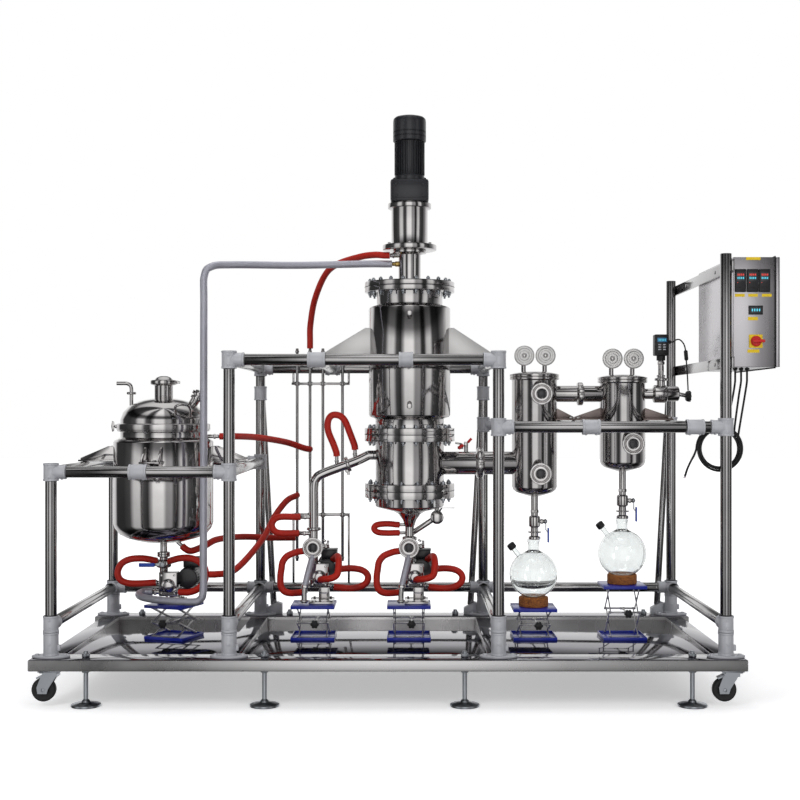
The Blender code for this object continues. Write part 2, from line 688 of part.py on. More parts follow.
    path = [(x - 0.168 - GAP, 0, 1.035), (x - 0.188, 0, 1.035), (-0.240, 0, 1.005), (-0.385, 0, 0.951), (-0.421, 0, 0.925)]
    path += [(-0.431, 0, 0.890), (-0.431, 0, 0.8), (-0.431, 0, 0.700 + GAP)]
    solids = [tube(path, 0.022, 0.200)]
    solids.append(rod((-0.266, 0, 0.9955), (-0.280, 0, 0.9903), 0.036, 10))
    for px, pz in ((-0.325, 0.974), (-0.240, 1.005)):
        solids.append(rod((px, 0, pz), (px, 0, pz + 0.062), 0.009))
    over = [(-0.325, 0, 1.030), (-0.330, 0, 1.080), (-0.362, 0, 1.140), (-0.365, 0, 1.190), (-0.330, 0, 1.222)]
    over += [(-0.285, 0, 1.205), (-0.262, 0, 1.140), (-0.244, 0, 1.090), (-0.240, 0, 1.060)]
    solids.append(tube(over, HOSE_R, 0.080, 1))
    end_x = PUMP_X[0] - SIDE_BARB_LENGTH
    side = [(end_x + 0.006, 0, 0.748), (end_x - 0.030, 0, 0.748), (-0.575, 0, 0.749), (-0.613, 0, 0.739)]
    side += [(-0.628, 0, 0.710), (-0.613, 0, 0.681), (-0.575, 0, SIDE_BARB_Z), (end_x - 0.030, 0, SIDE_BARB_Z)]
    side += [(end_x - GAP, 0, SIDE_BARB_Z)]
    solids.append(tube(side, HOSE_R, 0.080, 1))
    solids.append(rod((PUMP_X[0], 0, 0.748), (end_x, 0, 0.748), 0.010))
    piece("distillate_pipe", STEEL, solids)


def make_vessel():
    x = VESSEL_X
    wall = [(VESSEL_RIM_R, VESSEL_RIM_Z), (VESSEL_RIM_R, VESSEL_RIM_Z - 0.012), (VESSEL_R, VESSEL_RIM_Z - 0.014)]
    wall += [(VESSEL_R, VESSEL_JACKET_TOP + 0.010)]
    wall += [(VESSEL_JACKET_R, VESSEL_JACKET_TOP - 0.006), (VESSEL_JACKET_R, VESSEL_JACKET_BOTTOM + 0.020)]
    wall += [(VESSEL_JACKET_R - 0.028, VESSEL_JACKET_BOTTOM - 0.030), (0.120, VESSEL_BOTTOM + 0.012)]
    wall += [(0.0, VESSEL_BOTTOM)]
    bowl = [(0.0, 0.655), (0.110, 0.668), (VESSEL_BORE_R, 0.725), (VESSEL_BORE_R, VESSEL_RIM_Z)]
    solids = [turned(bowl + wall, (x, 0, 0), sides=16)]
    solids.append(rod((x, 0, VESSEL_BOTTOM + 0.012), (x, 0, 0.575), 0.0165))
    seat = LEFT_RAIL_Z + TUBE_R + GAP
    reach = abs(POST_X[0] - x) + 0.018
    gusset = [
        (VESSEL_JACKET_R - 0.012, seat + 0.004),
        (reach, seat + 0.004),
        (reach, seat + 0.016),
        (VESSEL_JACKET_R + 0.020, seat + 0.070),
        (VESSEL_JACKET_R - 0.012, seat + 0.070),
    ]
    for angle, length in ((0, reach), (180, reach), (270, 0.345)):
        spin = Matrix.Translation((x, 0, 0)) @ Matrix.Rotation(math.radians(angle), 4, "Z")
        foot = block((length - VESSEL_JACKET_R + 0.020, 0.090, 0.008), (0, 0, 0))
        middle = (length + VESSEL_JACKET_R - 0.010) / 2
        foot.data.transform(spin @ Matrix.Translation((middle, 0, seat + 0.004)))
        solids.append(foot)
        outline = [(min(a, length - 0.006), b) for a, b in gusset]
        for y in (-0.036, 0.036):
            upright = Matrix.Translation((0, y, 0)) @ Matrix.Rotation(math.radians(90), 4, "X")
            solids.append(plate(outline, 0.007, spin @ upright))
    solids.append(rod((x + VESSEL_R - 0.003, 0, 1.122), (x + VESSEL_JACKET_R + 0.030, 0, 1.122), 0.009))
    solids.append(rod((x + 0.050, -0.010, 0.648), (x + 0.085, -0.010, 0.616), 0.009))
    piece("feed_vessel", STEEL, solids)

    rim = VESSEL_RIM_Z + GAP
    lid = [(0.0, LID_TOP), (0.090, LID_TOP - 0.010), (0.160, LID_TOP - 0.040)]
    lid += [(VESSEL_R, LID_TOP - 0.096), (VESSEL_R, rim + 0.018), (VESSEL_RIM_R, rim + 0.014), (VESSEL_RIM_R, rim)]
    lid += [(VESSEL_BORE_R, rim), (VESSEL_BORE_R, LID_TOP - 0.100), (0.145, LID_TOP - 0.045), (0.0, LID_TOP - 0.012)]
    port = [(0.0, LID_PORT_TOP), (0.026, LID_PORT_TOP), (0.060, LID_PORT_TOP - 0.022)]
    port += [(0.060, LID_PORT_TOP - 0.038), (0.0425, LID_PORT_TOP - 0.042), (0.0425, LID_TOP - 0.010), (0.0, LID_TOP - 0.010)]
    pipe = [(x - 0.150, 0, 1.258), (x - 0.150, 0, 1.345), (x - 0.158, 0, 1.362), (x - 0.176, 0, 1.368), (x - 0.218, 0, 1.368)]
    band = [(x - VESSEL_RIM_R + 0.003, 0, rim + 0.010), (x - 0.232, 0, rim + 0.010)]
    handle = [(x + 0.085, -0.165, 1.215), (x + 0.088, -0.205, 1.262), (x + 0.125, -0.195, 1.268)]
    handle += [(x + 0.150, -0.172, 1.262), (x + 0.145, -0.135, 1.215)]
    solids = [
        turned(lid, (x, 0, 0), sides=16),
        turned(port, (x, 0, 0), sides=10),
        tube(pipe, 0.009, 0.080),
        rod((x - 0.150, 0, 1.318), (x - 0.150, 0, 1.326), 0.022),
        rod((x + 0.132, 0, 1.266), (x + 0.170, 0, 1.330), 0.022),
        rod((x + 0.158, 0, 1.310), (x + 0.166, 0, 1.3235), 0.032),
        rod(band[0], band[1], 0.006, 8),
        block((0.010, 0.012, 0.050), (x - 0.236, 0, rim + 0.010)),
        tube(handle, 0.006, 0.060, 1),
    ]
    piece("feed_vessel_lid", STEEL, solids)


def lab_jack(x, top, turn, joined):
    """Two stages of crossed arms on four rods; the arms swing in planes of constant X.

    Arms that are joined to the plates reach into them; loose ones end just clear.
    """
    base = DECK_TOP + GAP
    plate_t = JACK_PLATE_THICKNESS
    slope = math.asin((top - base - 2 * plate_t - 2 * JACK_ARM_WIDTH * 0.7) / 2 / JACK_ARM)
    seat = JACK_ARM_WIDTH / 2 * (math.cos(slope) + math.sin(slope)) + (-0.0015 if joined else GAP)
    low = base + plate_t + seat
    high = top - plate_t - seat
    stage = (high - low) / 2
    half = math.sqrt(JACK_ARM**2 - stage**2) / 2
    spin = Matrix.Translation((x, 0, 0)) @ Matrix.Rotation(turn, 4, "Z")
    tray = block((JACK_PLATE, JACK_PLATE, plate_t), (0, 0, base + plate_t / 2))
    shelf = block((JACK_PLATE, JACK_PLATE, plate_t), (0, 0, top - plate_t / 2))
    arms = []
    for level in range(2):
        z0 = low + stage * level
        for side in (-1, 1):
            for lean, inset in ((-1, 0.070), (1, 0.063)):
                start = (side * inset, -lean * half, z0)
                end = (side * inset, lean * half, z0 + stage)
                arms.append(arm_bar(start, end, 0.0045, JACK_ARM_WIDTH))
    for y, z, reach in ((-half, low, 0.063), (-half, low + stage, 0.070), (half, low + stage, 0.070), (-half, high, 0.070)):
        arms.append(rod((-reach, y, z), (reach, y, z), 0.0050, 4))
    middle = low + stage
    arms.append(rod((0.012, -half - 0.040, middle), (0.012, half, middle), 0.0042, 6))
    arms.append(rod((0.012, -half - 0.053, middle), (0.012, -half - 0.035, middle), 0.021, 8))
    for solid in [tray, shelf] + arms:
        solid.data.transform(spin)
    return tray, arms, shelf


def arm_bar(start, end, thickness, width):
    start = Vector(start)
    end = Vector(end)
    axis = end - start
    pitch = math.atan2(axis.z, axis.y)
    matrix = Matrix.Translation((start + end) / 2) @ Matrix.Rotation(pitch, 4, "X")
    bar = block((thickness, axis.length + width, width), (0, 0, 0))
    bar.data.transform(matrix)
    return bar


def make_jacks():
    for number, (x, turn) in enumerate(((FEED_PUMP_X + 0.048, -0.35), (PUMP_X[0], 0.0), (PUMP_X[1], 0.0)), 1):
        tray, arms, shelf = lab_jack(x, PUMP_JACK_TOP, turn, True)
        piece(f"pump_jack_{number}", BLUE, [tray, shelf] + arms)
    for number, (x, top) in enumerate(zip(FLASK_X, FLASK_JACK_TOP), 1):
        tray, arms, shelf = lab_jack(x, top, 0.0, False)
        piece(f"jack_base_{number}", BLUE, [tray])
        piece(f"jack_scissor_{number}", ZINC, arms, pivot=(x, 0, DECK_TOP + GAP + JACK_PLATE_THICKNESS + GAP))
        piece(f"jack_platform_{number}", BLUE, [shelf], pivot=(x, 0, top))


def pump_block(x, z, motor_x):
    """A gear pump on its foot, with a fan-cooled motor behind it."""
    top = PUMP_JACK_TOP + GAP
    return [
        block((0.110, 0.170, 0.016), (x + 0.035, 0.030, top + 0.008)),
        block((0.050, 0.060, z - top - 0.010), (x + 0.045, 0.060, (z + top) / 2)),
        block((0.086, 0.080, 0.116), (x + 0.026, 0.000, z)),
        rod((motor_x, 0.020, z + 0.020), (motor_x, 0.225, z + 0.020), 0.050, 10),
        rod((motor_x, 0.223, z + 0.020), (motor_x, 0.262, z + 0.020), 0.056, 10),
        block((0.074, 0.080, 0.050), (motor_x + 0.008, 0.120, z + 0.086)),
    ]


def make_pumps():
    for name, x, inlet in (("distillate_pump", PUMP_X[0], 0.700), ("residue_pump", PUMP_X[1], RESIDUE_OUTLET_Z)):
        solids = pump_block(x, 0.480, x + 0.057)
        solids.append(rod((x, 0, 0.500), (x, 0, inlet - 0.010), 0.020))
        solids.append(rod((x, 0, inlet - 0.016), (x, 0, inlet - GAP), 0.034))
        glass = [(0.0, 0.080), (0.047, 0.080), (0.047, 0.060), (0.028, 0.058), (0.028, -0.010), (0.0, -0.010)]
        solids.append(turned(glass, (x, 0, 0.612), (0, -1, 0), 10))
        solids.append(rod((x + 0.006, 0, 0.612), (x + 0.072, 0, 0.612), 0.010))
        if name == "distillate_pump":
            solids.append(rod((x, 0, SIDE_BARB_Z), (x - SIDE_BARB_LENGTH, 0, SIDE_BARB_Z), 0.010))
        spout = [(x, -0.040, 0.590), (x - 0.004, -0.074, 0.560), (x - 0.014, -0.098, 0.520), (x - 0.026, -0.112, 0.470)]
        spout += [(x - 0.034, -0.116, 0.420), (x - 0.036, -0.116, 0.364)]
        solids.append(tube(spout, 0.0130, 0.060))
        r = HOSE_R
        big = [(x - 0.020, -0.044, 0.600), (x - 0.060, -0.070, 0.586), (x - 0.115, -0.084, 0.574), (x - 0.143, -0.086, 0.535)]
        big += [(x - 0.143, -0.086, 0.462), (x - 0.125, -0.084, 0.414), (x - 0.085, -0.070, 0.404), (x + 0.000, -0.030, 0.405)]
        solids.append(tube(big, r, 0.070, 1))
        right = [(x + 0.030, -0.030, 0.462), (x + 0.045, -0.080, 0.470), (x + 0.095, -0.104, 0.478), (x + 0.117, -0.104, 0.500)]
        right += [(x + 0.119, -0.080, 0.556), (x + 0.112, -0.010, 0.570), (x + 0.085, 0.050, 0.545)]
        solids.append(tube(right, r, 0.070, 1))
        flat = [(x + 0.060, 0.055, 0.490), (x + 0.130, 0.060, 0.500), (x + 0.205, 0.060, 0.498), (x + 0.250, 0.050, 0.470)]
        flat += [(x + 0.240, 0.040, 0.430), (x + 0.190, 0.030, 0.414), (x + 0.120, 0.024, 0.416), (x + 0.040, 0.010, 0.436)]
        solids.append(tube(flat, r, 0.070, 1))
        piece(name, STEEL, solids)

    x = FEED_PUMP_X
    solids = pump_block(x, 0.440, x + 0.105)
    stack = [(0.0, 0.575 - GAP), (0.030, 0.575 - GAP), (0.030, 0.563), (0.019, 0.561), (0.019, 0.552)]
    stack += [(0.034, 0.550), (0.034, 0.515), (0.019, 0.512), (0.019, 0.470), (0.0, 0.470)]
    solids.append(turned(stack, (x, 0, 0), sides=10))
    solids.append(rod((x, 0, 0.532), (x, -0.046, 0.532), 0.009, 8))
    r = HOSE_R
    left = [(x - 0.020, 0.000, 0.541), (x - 0.080, -0.010, 0.556), (x - 0.160, -0.020, 0.552), (x - 0.205, -0.024, 0.512)]
    left += [(x - 0.196, -0.024, 0.460), (x - 0.140, -0.016, 0.440), (x - 0.010, 0.000, 0.444)]
    solids.append(tube(left, r, 0.070, 1))
    right = [(x + 0.018, 0.000, 0.541), (x + 0.080, -0.050, 0.562), (x + 0.150, -0.070, 0.560), (x + 0.205, -0.072, 0.510)]
    right += [(x + 0.185, -0.070, 0.436), (x + 0.120, -0.060, 0.404), (x + 0.030, -0.030, 0.410)]
    solids.append(tube(right, r, 0.070, 1))
    solids.append(rod((x - 0.010, 0, 0.400), (x - 0.052, 0, 0.400), 0.012, 8))
    piece("feed_pump", STEEL, solids)
    lever_handle("feed_valve_handle", (x, -0.046 - GAP, 0.532), (0, -1, 0), (-1, 0, 0), 0.100)


def lever_handle(name, pivot, axis, reach, length):
    """A stepped lever on a valve stem: a hub, a joggle and a flat grip."""
    pivot = Vector(pivot)
    axis = Vector(axis)
    reach = Vector(reach)
    side = axis.cross(reach)
    frame = Matrix((reach, side, axis)).transposed().to_4x4()
    frame.translation = pivot
    hub = rod((0, 0, 0), (0, 0, 0.010), 0.012, 12)
    neck = block((0.045, 0.014, 0.004), (0.018, 0, 0.006))
    ramp = block((0.024, 0.0135, 0.0045), (0, 0, 0))
    ramp.data.transform(Matrix.Translation((0.046, 0, 0.0115)) @ Matrix.Rotation(math.radians(-35), 4, "Y"))
    grip = block((length - 0.050, 0.018, 0.007), (0.028 + length / 2, 0, 0.0175), 0.0025)
    solids = [hub, neck, ramp, grip]
    for solid in solids:
        solid.data.transform(frame)
    piece(name, BLUE, solids, pivot=pivot)


def disc_port(x, z, y0, reach, radius, tube_r):
    """A flanged round port that faces the front."""
    profile = [(0.0, reach), (radius, reach), (radius, reach - 0.016), (tube_r, reach - 0.018), (tube_r, 0.0), (0.0, 0.0)]
    return turned(profile, (x, y0, z), (0, -1, 0), 10)


def make_condensers():
    for number in (0, 1):
        x = CONDENSER_X[number]
        top = CONDENSER_TOP[number]
        bottom = CONDENSER_BOTTOM[number]
        outlet = FLASK_Z[number] + FLASK_R + FLASK_NECK_LENGTH + GAP
        body = [(0.0, top + 0.014), (CONDENSER_R + 0.010, top - 0.002)]
        body += [(CONDENSER_R + 0.010, top - 0.026), (CONDENSER_R, top - 0.029), (CONDENSER_R, bottom + 0.034)]
        body += [(CONDENSER_R - 0.022, bottom + 0.012), (0.012, bottom - 0.010), (0.0, bottom - 0.010)]
        drain = [(0.0, bottom + 0.004), (0.017, bottom + 0.004), (0.017, outlet + 0.106), (0.027, outlet + 0.104)]
        drain += [(0.027, outlet + 0.062), (0.018, outlet + 0.058), (0.018, outlet + 0.014), (0.028, outlet + 0.012)]
        drain += [(0.028, outlet), (0.0, outlet)]
        solids = [turned(body, (x, 0, 0), sides=14), turned(drain, (x, 0, 0), sides=8)]
        stem = (x + 0.022, 0, outlet + 0.083)
        solids.append(rod(stem, (x + 0.046, 0, outlet + 0.083), 0.009, 8))
        for dx in (-0.049, 0.049):
            arch = [(x + dx, 0.020, top - 0.010), (x + dx, 0.020, top + 0.055), (x + dx, 0.004, top + 0.080)]
            solids.append(tube(arch, 0.011, 0.060, 1))
            solids.append(disc_port(x + dx, top + 0.085, 0.018, 0.046, 0.0465, 0.016))
        sights = ((x + 0.020, 1.318), (x + 0.016, 0.954)) if number == 0 else ((x + 0.028, 1.091),)
        for sx, sz in sights:
            solids.append(disc_port(sx, sz, -0.080, 0.065, 0.050, 0.036))
        seat = RIGHT_RAIL_Z + TUBE_R + GAP
        if number == 0:
            start = VAPOUR_JOINT_X + GAP
            ring = [(0.0, 0.0), (VAPOUR_R + 0.015, 0.0), (VAPOUR_R + 0.015, -0.010), (VAPOUR_R, -0.014)]
            ring += [(VAPOUR_R, start - x + 0.080), (0.0, start - x + 0.080)]
            solids.append(turned(ring, (start, 0, VAPOUR_Z), (-1, 0, 0), 12))
            end = TRANSFER_JOINT_X
            pipe = [(0.0, 0.0), (TRANSFER_R + 0.013, 0.0), (TRANSFER_R + 0.013, -0.009), (TRANSFER_R, -0.013)]
            pipe += [(TRANSFER_R, x - end + 0.080), (0.0, x - end + 0.080)]
            solids.append(turned(pipe, (end, 0, TRANSFER_Z), (1, 0, 0), 10))
            spans = ((x + CONDENSER_R - 0.012, CONDENSER_CROSS_X[0] - 0.001),)
        else:
            start = TRANSFER_JOINT_X + GAP
            pipe = [(0.0, 0.0), (TRANSFER_R + 0.013, 0.0), (TRANSFER_R + 0.013, -0.009), (TRANSFER_R, -0.013)]
            pipe += [(TRANSFER_R, start - x + 0.080), (0.0, start - x + 0.080)]
            solids.append(turned(pipe, (start, 0, TRANSFER_Z), (-1, 0, 0), 10))
            outlet_end = OUTLET_END_X - x
            tail = [(0.0, outlet_end), (0.034, outlet_end), (0.034, outlet_end - 0.060), (0.024, outlet_end - 0.062)]
            tail += [(0.024, 0.212), (0.040, 0.210), (0.040, 0.145), (0.024, 0.143)]
            tail += [(0.024, 0.080), (0.0, 0.080)]
            solids.append(turned(tail, (x, 0, TRANSFER_Z), (1, 0, 0), 10))
            solids.append(rod((OUTLET_END_X - 0.004, 0, TRANSFER_Z), (1.300, 0, 1.310), 0.010, 8))
            knob = turned([(0.0, 0.012), (0.022, 0.012), (0.026, 0.0), (0.022, -0.012), (0.0, -0.012)], sides=8)
            knob.data.transform(Matrix.Translation((1.306, 0, 1.308)) @ Matrix.Rotation(math.radians(90), 4, "Y"))
            solids.append(knob)
            solids.append(rod((1.180, 0, TRANSFER_Z + 0.020), (1.180, 0, 1.396), 0.020))
            solids.append(rod((1.180, 0, 1.380), (1.180, 0, 1.392), 0.030, 14))
            spans = ((CONDENSER_CROSS_X[0] + 0.001, x - CONDENSER_R + 0.012), (x + CONDENSER_R - 0.012, 1.232))
        for low_x, high_x in spans:
            middle = ((low_x + high_x) / 2, 0, seat + 0.004)
            solids.append(block((high_x - low_x, 0.080, 0.008), middle))
            inner, outer = (low_x, high_x) if low_x > x else (high_x, low_x)
            outline = [(inner, seat + 0.006), (outer, seat + 0.006), (outer, seat + 0.016), (inner, seat + 0.062)]
            upright = Matrix.Translation((0, 0, 0)) @ Matrix.Rotation(math.radians(90), 4, "X")
            solids.append(plate(outline, 0.008, upright))
        piece(f"condenser_{number + 1}", STEEL, solids)
        pivot = (x + 0.046 + GAP, 0, outlet + 0.083)
        lever_handle(f"drain_handle_{number + 1}", pivot, (1, 0, 0), (0, 0, -1), 0.095)

    stem = (1.180, 0, 1.396 + GAP)
    x, y, z = stem
    gauge = [
        rod(stem, (x, 0, 1.470), 0.014),
        rod((x, 0, 1.462), (x, 0, 1.500), 0.021),
        block((0.066, 0.056, 0.098), (x, 0, 1.545), 0.006),
        rod((x + 0.030, 0, 1.560), (x + 0.046, 0, 1.560), 0.009, 8),
    ]
    piece("vacuum_gauge", BLACK, gauge)


def make_flasks():
    for number in (0, 1):
        x = FLASK_X[number]
        z = FLASK_Z[number]
        neck_top = z + FLASK_R + FLASK_NECK_LENGTH
        outer = []
        inner = []
        for step in range(7):
            angle = math.radians(14 + step * (180 - 14) / 6)
            outer.append((FLASK_R * math.sin(angle), z + FLASK_R * math.cos(angle)))
        for step in range(6):
            bore = FLASK_R - FLASK_WALL
            angle = math.radians(180 - step * (180 - 12) / 5)
            inner.append((bore * math.sin(angle), z + bore * math.cos(angle)))
        outer[-1] = (0.0, z - FLASK_R)
        inner[0] = (0.0, z - FLASK_R + FLASK_WALL)
        rim = [(0.017, neck_top), (0.029, neck_top), (0.029, neck_top - 0.010), (FLASK_NECK_R, neck_top - 0.013)]
        inner[-1] = (0.0205, z + FLASK_R - 0.008)
        profile = inner + [(0.0205, neck_top - 0.030)] + rim + outer
        shell = turned(profile, (x, 0, 0), sides=12)
        lean = math.radians(38)
        direction = Vector((-math.sin(lean), 0, math.cos(lean)))
        centre = Vector((x, 0, z))
        side = rod(centre + direction * (FLASK_R - 0.0025), centre + direction * (FLASK_R + 0.050), 0.012)
        cap = rod(centre + direction * (FLASK_R + 0.038), centre + direction * (FLASK_R + 0.068), 0.018)
        piece(f"flask_{number + 1}", GLASS, [shell, side, cap], pivot=(x, 0, z))
        base = FLASK_JACK_TOP[number] + GAP
        piece(f"cork_ring_{number + 1}", CORK, [cork_ring(x, z, base)])


def cork_ring(x, z, base):
    """A ring whose dished upper edge follows the flask that sits in it."""
    top = base + CORK_HEIGHT
    reach = FLASK_R + 0.0005
    rim = math.sqrt(reach**2 - (z - top) ** 2)
    ring = [(CORK_R - 0.004, top), (CORK_R, top - 0.004), (CORK_R, base + 0.004), (CORK_R - 0.004, base)]
    ring.append((CORK_BORE_R, base))
    for step in range(3):
        radius = CORK_BORE_R + (rim - CORK_BORE_R) * step / 2
        ring.append((radius, z - math.sqrt(reach**2 - radius**2)))
    return turned(ring, (x, 0, 0), sides=12, closed=True)


def make_cabinet():
    front = CABINET_FRONT
    back = CABINET_BACK
    depth = back - front
    height = CABINET_TOP - CABINET_BOTTOM
    mid_y = (front + back) / 2
    mid_z = (CABINET_TOP + CABINET_BOTTOM) / 2
    mouth = DOOR_FACE_X - DOOR_THICKNESS - GAP
    wall = CABINET_WALL
    box = block((mouth - CABINET_LEFT, depth, height), ((mouth + CABINET_LEFT) / 2, mid_y, mid_z), 0.002)
    inside = block(
        (mouth - CABINET_LEFT, depth - 2 * wall, height - 2 * wall), ((mouth + CABINET_LEFT) / 2 + wall, mid_y, mid_z)
    )
    shell = combine(box, [inside], "DIFFERENCE")
    solids = [shell]
    for index in range(3):
        x = 1.4020 + index * 0.0505
        solids.append(block((0.048, 0.008, 0.096), (x, front - 0.001, 1.787)))
    solids.append(block((0.062, 0.008, 0.040), (SWITCH_X, front - 0.001, 1.663)))
    solids.append(block((0.056, 0.010, 0.056), (SWITCH_X, front - 0.002, SWITCH_Z)))
    solids.append(block((0.014, depth - 0.090, height - 0.070), (CABINET_LEFT + 0.010, mid_y, mid_z)))
    for z in (1.540, 1.660, 1.780):
        solids.append(block((0.062, depth - 0.300, 0.076), (CABINET_LEFT + 0.047, mid_y - 0.030, z)))
    for x, y in CABLE_GLANDS:
        solids.append(rod((x, y, CABINET_BOTTOM + 0.003), (x, y, CABINET_BOTTOM - 0.012), 0.009, 8))
    hinge_x = mouth + 0.002
    hinge_y = back + 0.0075
    for z in (1.500, 1.730):
        solids.append(rod((hinge_x, hinge_y, z - 0.020), (hinge_x, hinge_y, z + 0.020), 0.005, 8))
        solids.append(block((0.018, 0.006, 0.036), (hinge_x - 0.011, back + 0.002, z)))
    piece("control_cabinet", BRUSHED, solids)

    leaf_x = DOOR_FACE_X - DOOR_THICKNESS / 2
    leaf = block((DOOR_THICKNESS, depth, height), (leaf_x, mid_y, mid_z), 0.002)
    hollow = block((DOOR_THICKNESS - 0.003, depth - 0.012, height - 0.012), (leaf_x - 0.003, mid_y, mid_z))
    solids = [combine(leaf, [hollow], "DIFFERENCE")]
    for z in (1.5405, 1.7705):
        solids.append(rod((hinge_x, hinge_y, z - 0.020), (hinge_x, hinge_y, z + 0.020), 0.005, 8))
        solids.append(block((0.014, 0.006, 0.036), (hinge_x + 0.008, back + 0.002, z)))
    lock_y = front + 0.034
    solids.append(rod((DOOR_FACE_X - 0.006, lock_y, mid_z), (DOOR_FACE_X + 0.003, lock_y, mid_z), 0.011, 12))
    piece("cabinet_door", BRUSHED, solids, pivot=(hinge_x, hinge_y, mid_z))

    face = front - 0.007 - GAP
    base = rod((SWITCH_X, face, SWITCH_Z), (SWITCH_X, face - 0.014, SWITCH_Z), 0.023, 16, 0.020)
    grip = block((0.052, 0.016, 0.013), (SWITCH_X + 0.006, face - 0.021, SWITCH_Z), 0.004)
    piece("main_switch", RED, [base, grip], pivot=(SWITCH_X, face, SWITCH_Z))


def make_services():
    head_port = COLUMN_X - NECK_R - 0.030 - GAP
    run = [(head_port, 0, 1.922), (head_port - 0.030, 0, 1.922), (-0.200, -0.010, 1.921), (-0.500, -0.070, 1.908), (-0.780, -0.180, 1.898)]
    run += [(-0.868, -0.238, 1.884), (-0.900, -0.252, 1.840), (-0.902, -0.252, 1.700), (-0.903, -0.252, 1.100)]
    run += [(-0.904, -0.252, 0.600), (-0.905, -0.252, 0.440), (-0.920, -0.248, 0.400), (-0.960, -0.240, 0.388)]
    end_x = FEED_PUMP_X - 0.052 - GAP
    run += [(-1.100, -0.190, 0.388), (-1.195, -0.120, 0.390), (-1.232, -0.060, 0.396), (-1.226, -0.010, 0.400)]
    run += [(end_x - 0.022, 0, 0.400), (end_x, 0, 0.400)]
    piece("insulated_pipe", FOIL, [tube(run, PIPE_SLEEVE_R, 0.450, 1)])

    solids = []
    low_seat = LOW_RAIL_Z + TUBE_R + GAP
    left_x = RISER_X[0] - 0.022
    right_x = RISER_X[-1] + 0.030
    bar_z = (0.716, 1.378)
    for x in RISER_X:
        solids.append(rod((x, RISER_Y, RISER_BOTTOM), (x, RISER_Y, RISER_TOP), RISER_R, 6))
    for z in bar_z:
        size = (right_x - left_x + 0.012, 0.060, 0.012)
        solids.append(block(size, ((left_x + right_x) / 2, RISER_Y + 0.020, z)))
    for x in (left_x, right_x):
        solids.append(block((0.011, 0.011, bar_z[0] - low_seat), (x, POST_Y, (bar_z[0] + low_seat) / 2)))
        hanger_top = MAIN_RAIL_Z - TUBE_R - GAP
        solids.append(block((0.011, 0.011, hanger_top - bar_z[1]), (x, POST_Y, (hanger_top + bar_z[1]) / 2)))
    piece("riser_manifold", STEEL, solids)

    front = RISER_Y - RISER_R - 0.0008
    barb_end = COLUMN_X - NECK_R - 0.040 - GAP
    top = [(barb_end, 0, 1.962), (barb_end - 0.024, 0, 1.962), (-0.150, 0.030, 1.968), (-0.221, 0.100, 1.967)]
    top += [(-0.333, 0.250, 1.951), (-0.402, 0.350, 1.908), (-0.462, 0.470, 1.795), (-0.488, 0.530, 1.674)]
    top += [(RISER_X[1], RISER_Y, 1.600), (RISER_X[1], RISER_Y, RISER_TOP + GAP)]
    piece("heating_hose_top", RED, [tube(top, HOSE_R, 0.093)])
    barb_end = VESSEL_X + VESSEL_JACKET_R + 0.030 + GAP
    side = [(barb_end, 0, 1.122), (barb_end + 0.024, 0, 1.122), (barb_end + 0.066, 0.020, 1.122), (-0.716, 0.200, 1.113)]
    side += [(-0.600, 0.400, 1.086), (-0.520, 0.470, 1.056), (RISER_X[1], 0.500, 1.048), (RISER_X[1], front, 1.048)]
    piece("heating_hose_vessel", RED, [tube(side, HOSE_R, 0.093)])
    low = [(-1.0425, -0.010, 0.6155), (-1.0278, -0.010, 0.6021), (-1.000, 0.006, 0.590), (-0.950, 0.080, 0.606), (-0.902, 0.160, 0.628)]
    low += [(-0.808, 0.330, 0.624), (-0.680, 0.470, 0.606), (-0.600, 0.530, 0.600)]
    low += [(RISER_X[0] - RISER_R - 0.0008, RISER_Y, 0.600)]
    piece("heating_hose_bottom", RED, [tube(low, HOSE_R, 0.093)])
    rise = [(-0.9058, -0.072, 0.490), (-0.880, -0.072, 0.490), (-0.800, 0.040, 0.500), (-0.701, 0.240, 0.615)]
    rise += [(-0.652, 0.370, 0.720), (-0.600, 0.450, 0.792), (RISER_X[0], 0.500, 0.815), (RISER_X[0], front, 0.815)]
    piece("heating_hose_pump", RED, [tube(rise, HOSE_R, 0.093)])

    coil = [(COIL_R + COIL_THICK * math.sin(math.radians(a)), COIL_THICK * math.cos(math.radians(a))) for a in range(0, 360, 60)]
    ring = turned(coil, COIL_CENTRE, (0, -1, 0), 12, closed=True)
    piece("cable_coil", RUBBER, [ring])
    for number, (x, y) in enumerate(CABLE_GLANDS):
        angle = math.radians(62 - 26 * number)
        end_x = COIL_CENTRE[0] + COIL_R * math.cos(angle)
        end_z = COIL_CENTRE[2] + COIL_R * math.sin(angle)
        end_y = COIL_CENTRE[1] + COIL_THICK + 0.0006
        route = [(x, y, CABINET_BOTTOM - 0.012 - GAP), (x, y, 1.370), (x - 0.012, y - 0.006, 1.300)]
        route += [(end_x + 0.006, end_y + 0.034, end_z + 0.040), (end_x, end_y + 0.014, end_z), (end_x, end_y, end_z)]
        piece(f"cabinet_cable_{number + 1}", RUBBER, [tube(route, CABLE_R, 0.060)])
    x, y, z = COIL_CENTRE
    tail = [(x - COIL_R - COIL_THICK - 0.0006, y, z), (x - 0.120, y, z - 0.018), (x - 0.137, y, z - 0.060), (x - 0.146, y, z - 0.122)]
    piece("cable_tail", RUBBER, [tube(tail, CABLE_R, 0.020)])

    lead = [(1.2263, 0, 1.560), (1.236, 0, 1.560), (1.250, 0, 1.570), (1.268, 0, 1.570), (1.286, 0, 1.550), (1.294, 0, 1.520)]
    lead += [(1.298, 0, 1.470), (1.303, 0, 1.400), (1.306, 0, 1.3346)]
    plug = rod((1.2945, 0, 1.522), (1.2985, 0, 1.474), 0.009, 8)
    piece("gauge_cable", RUBBER, [tube(lead, 0.0032, 0.060), plug])


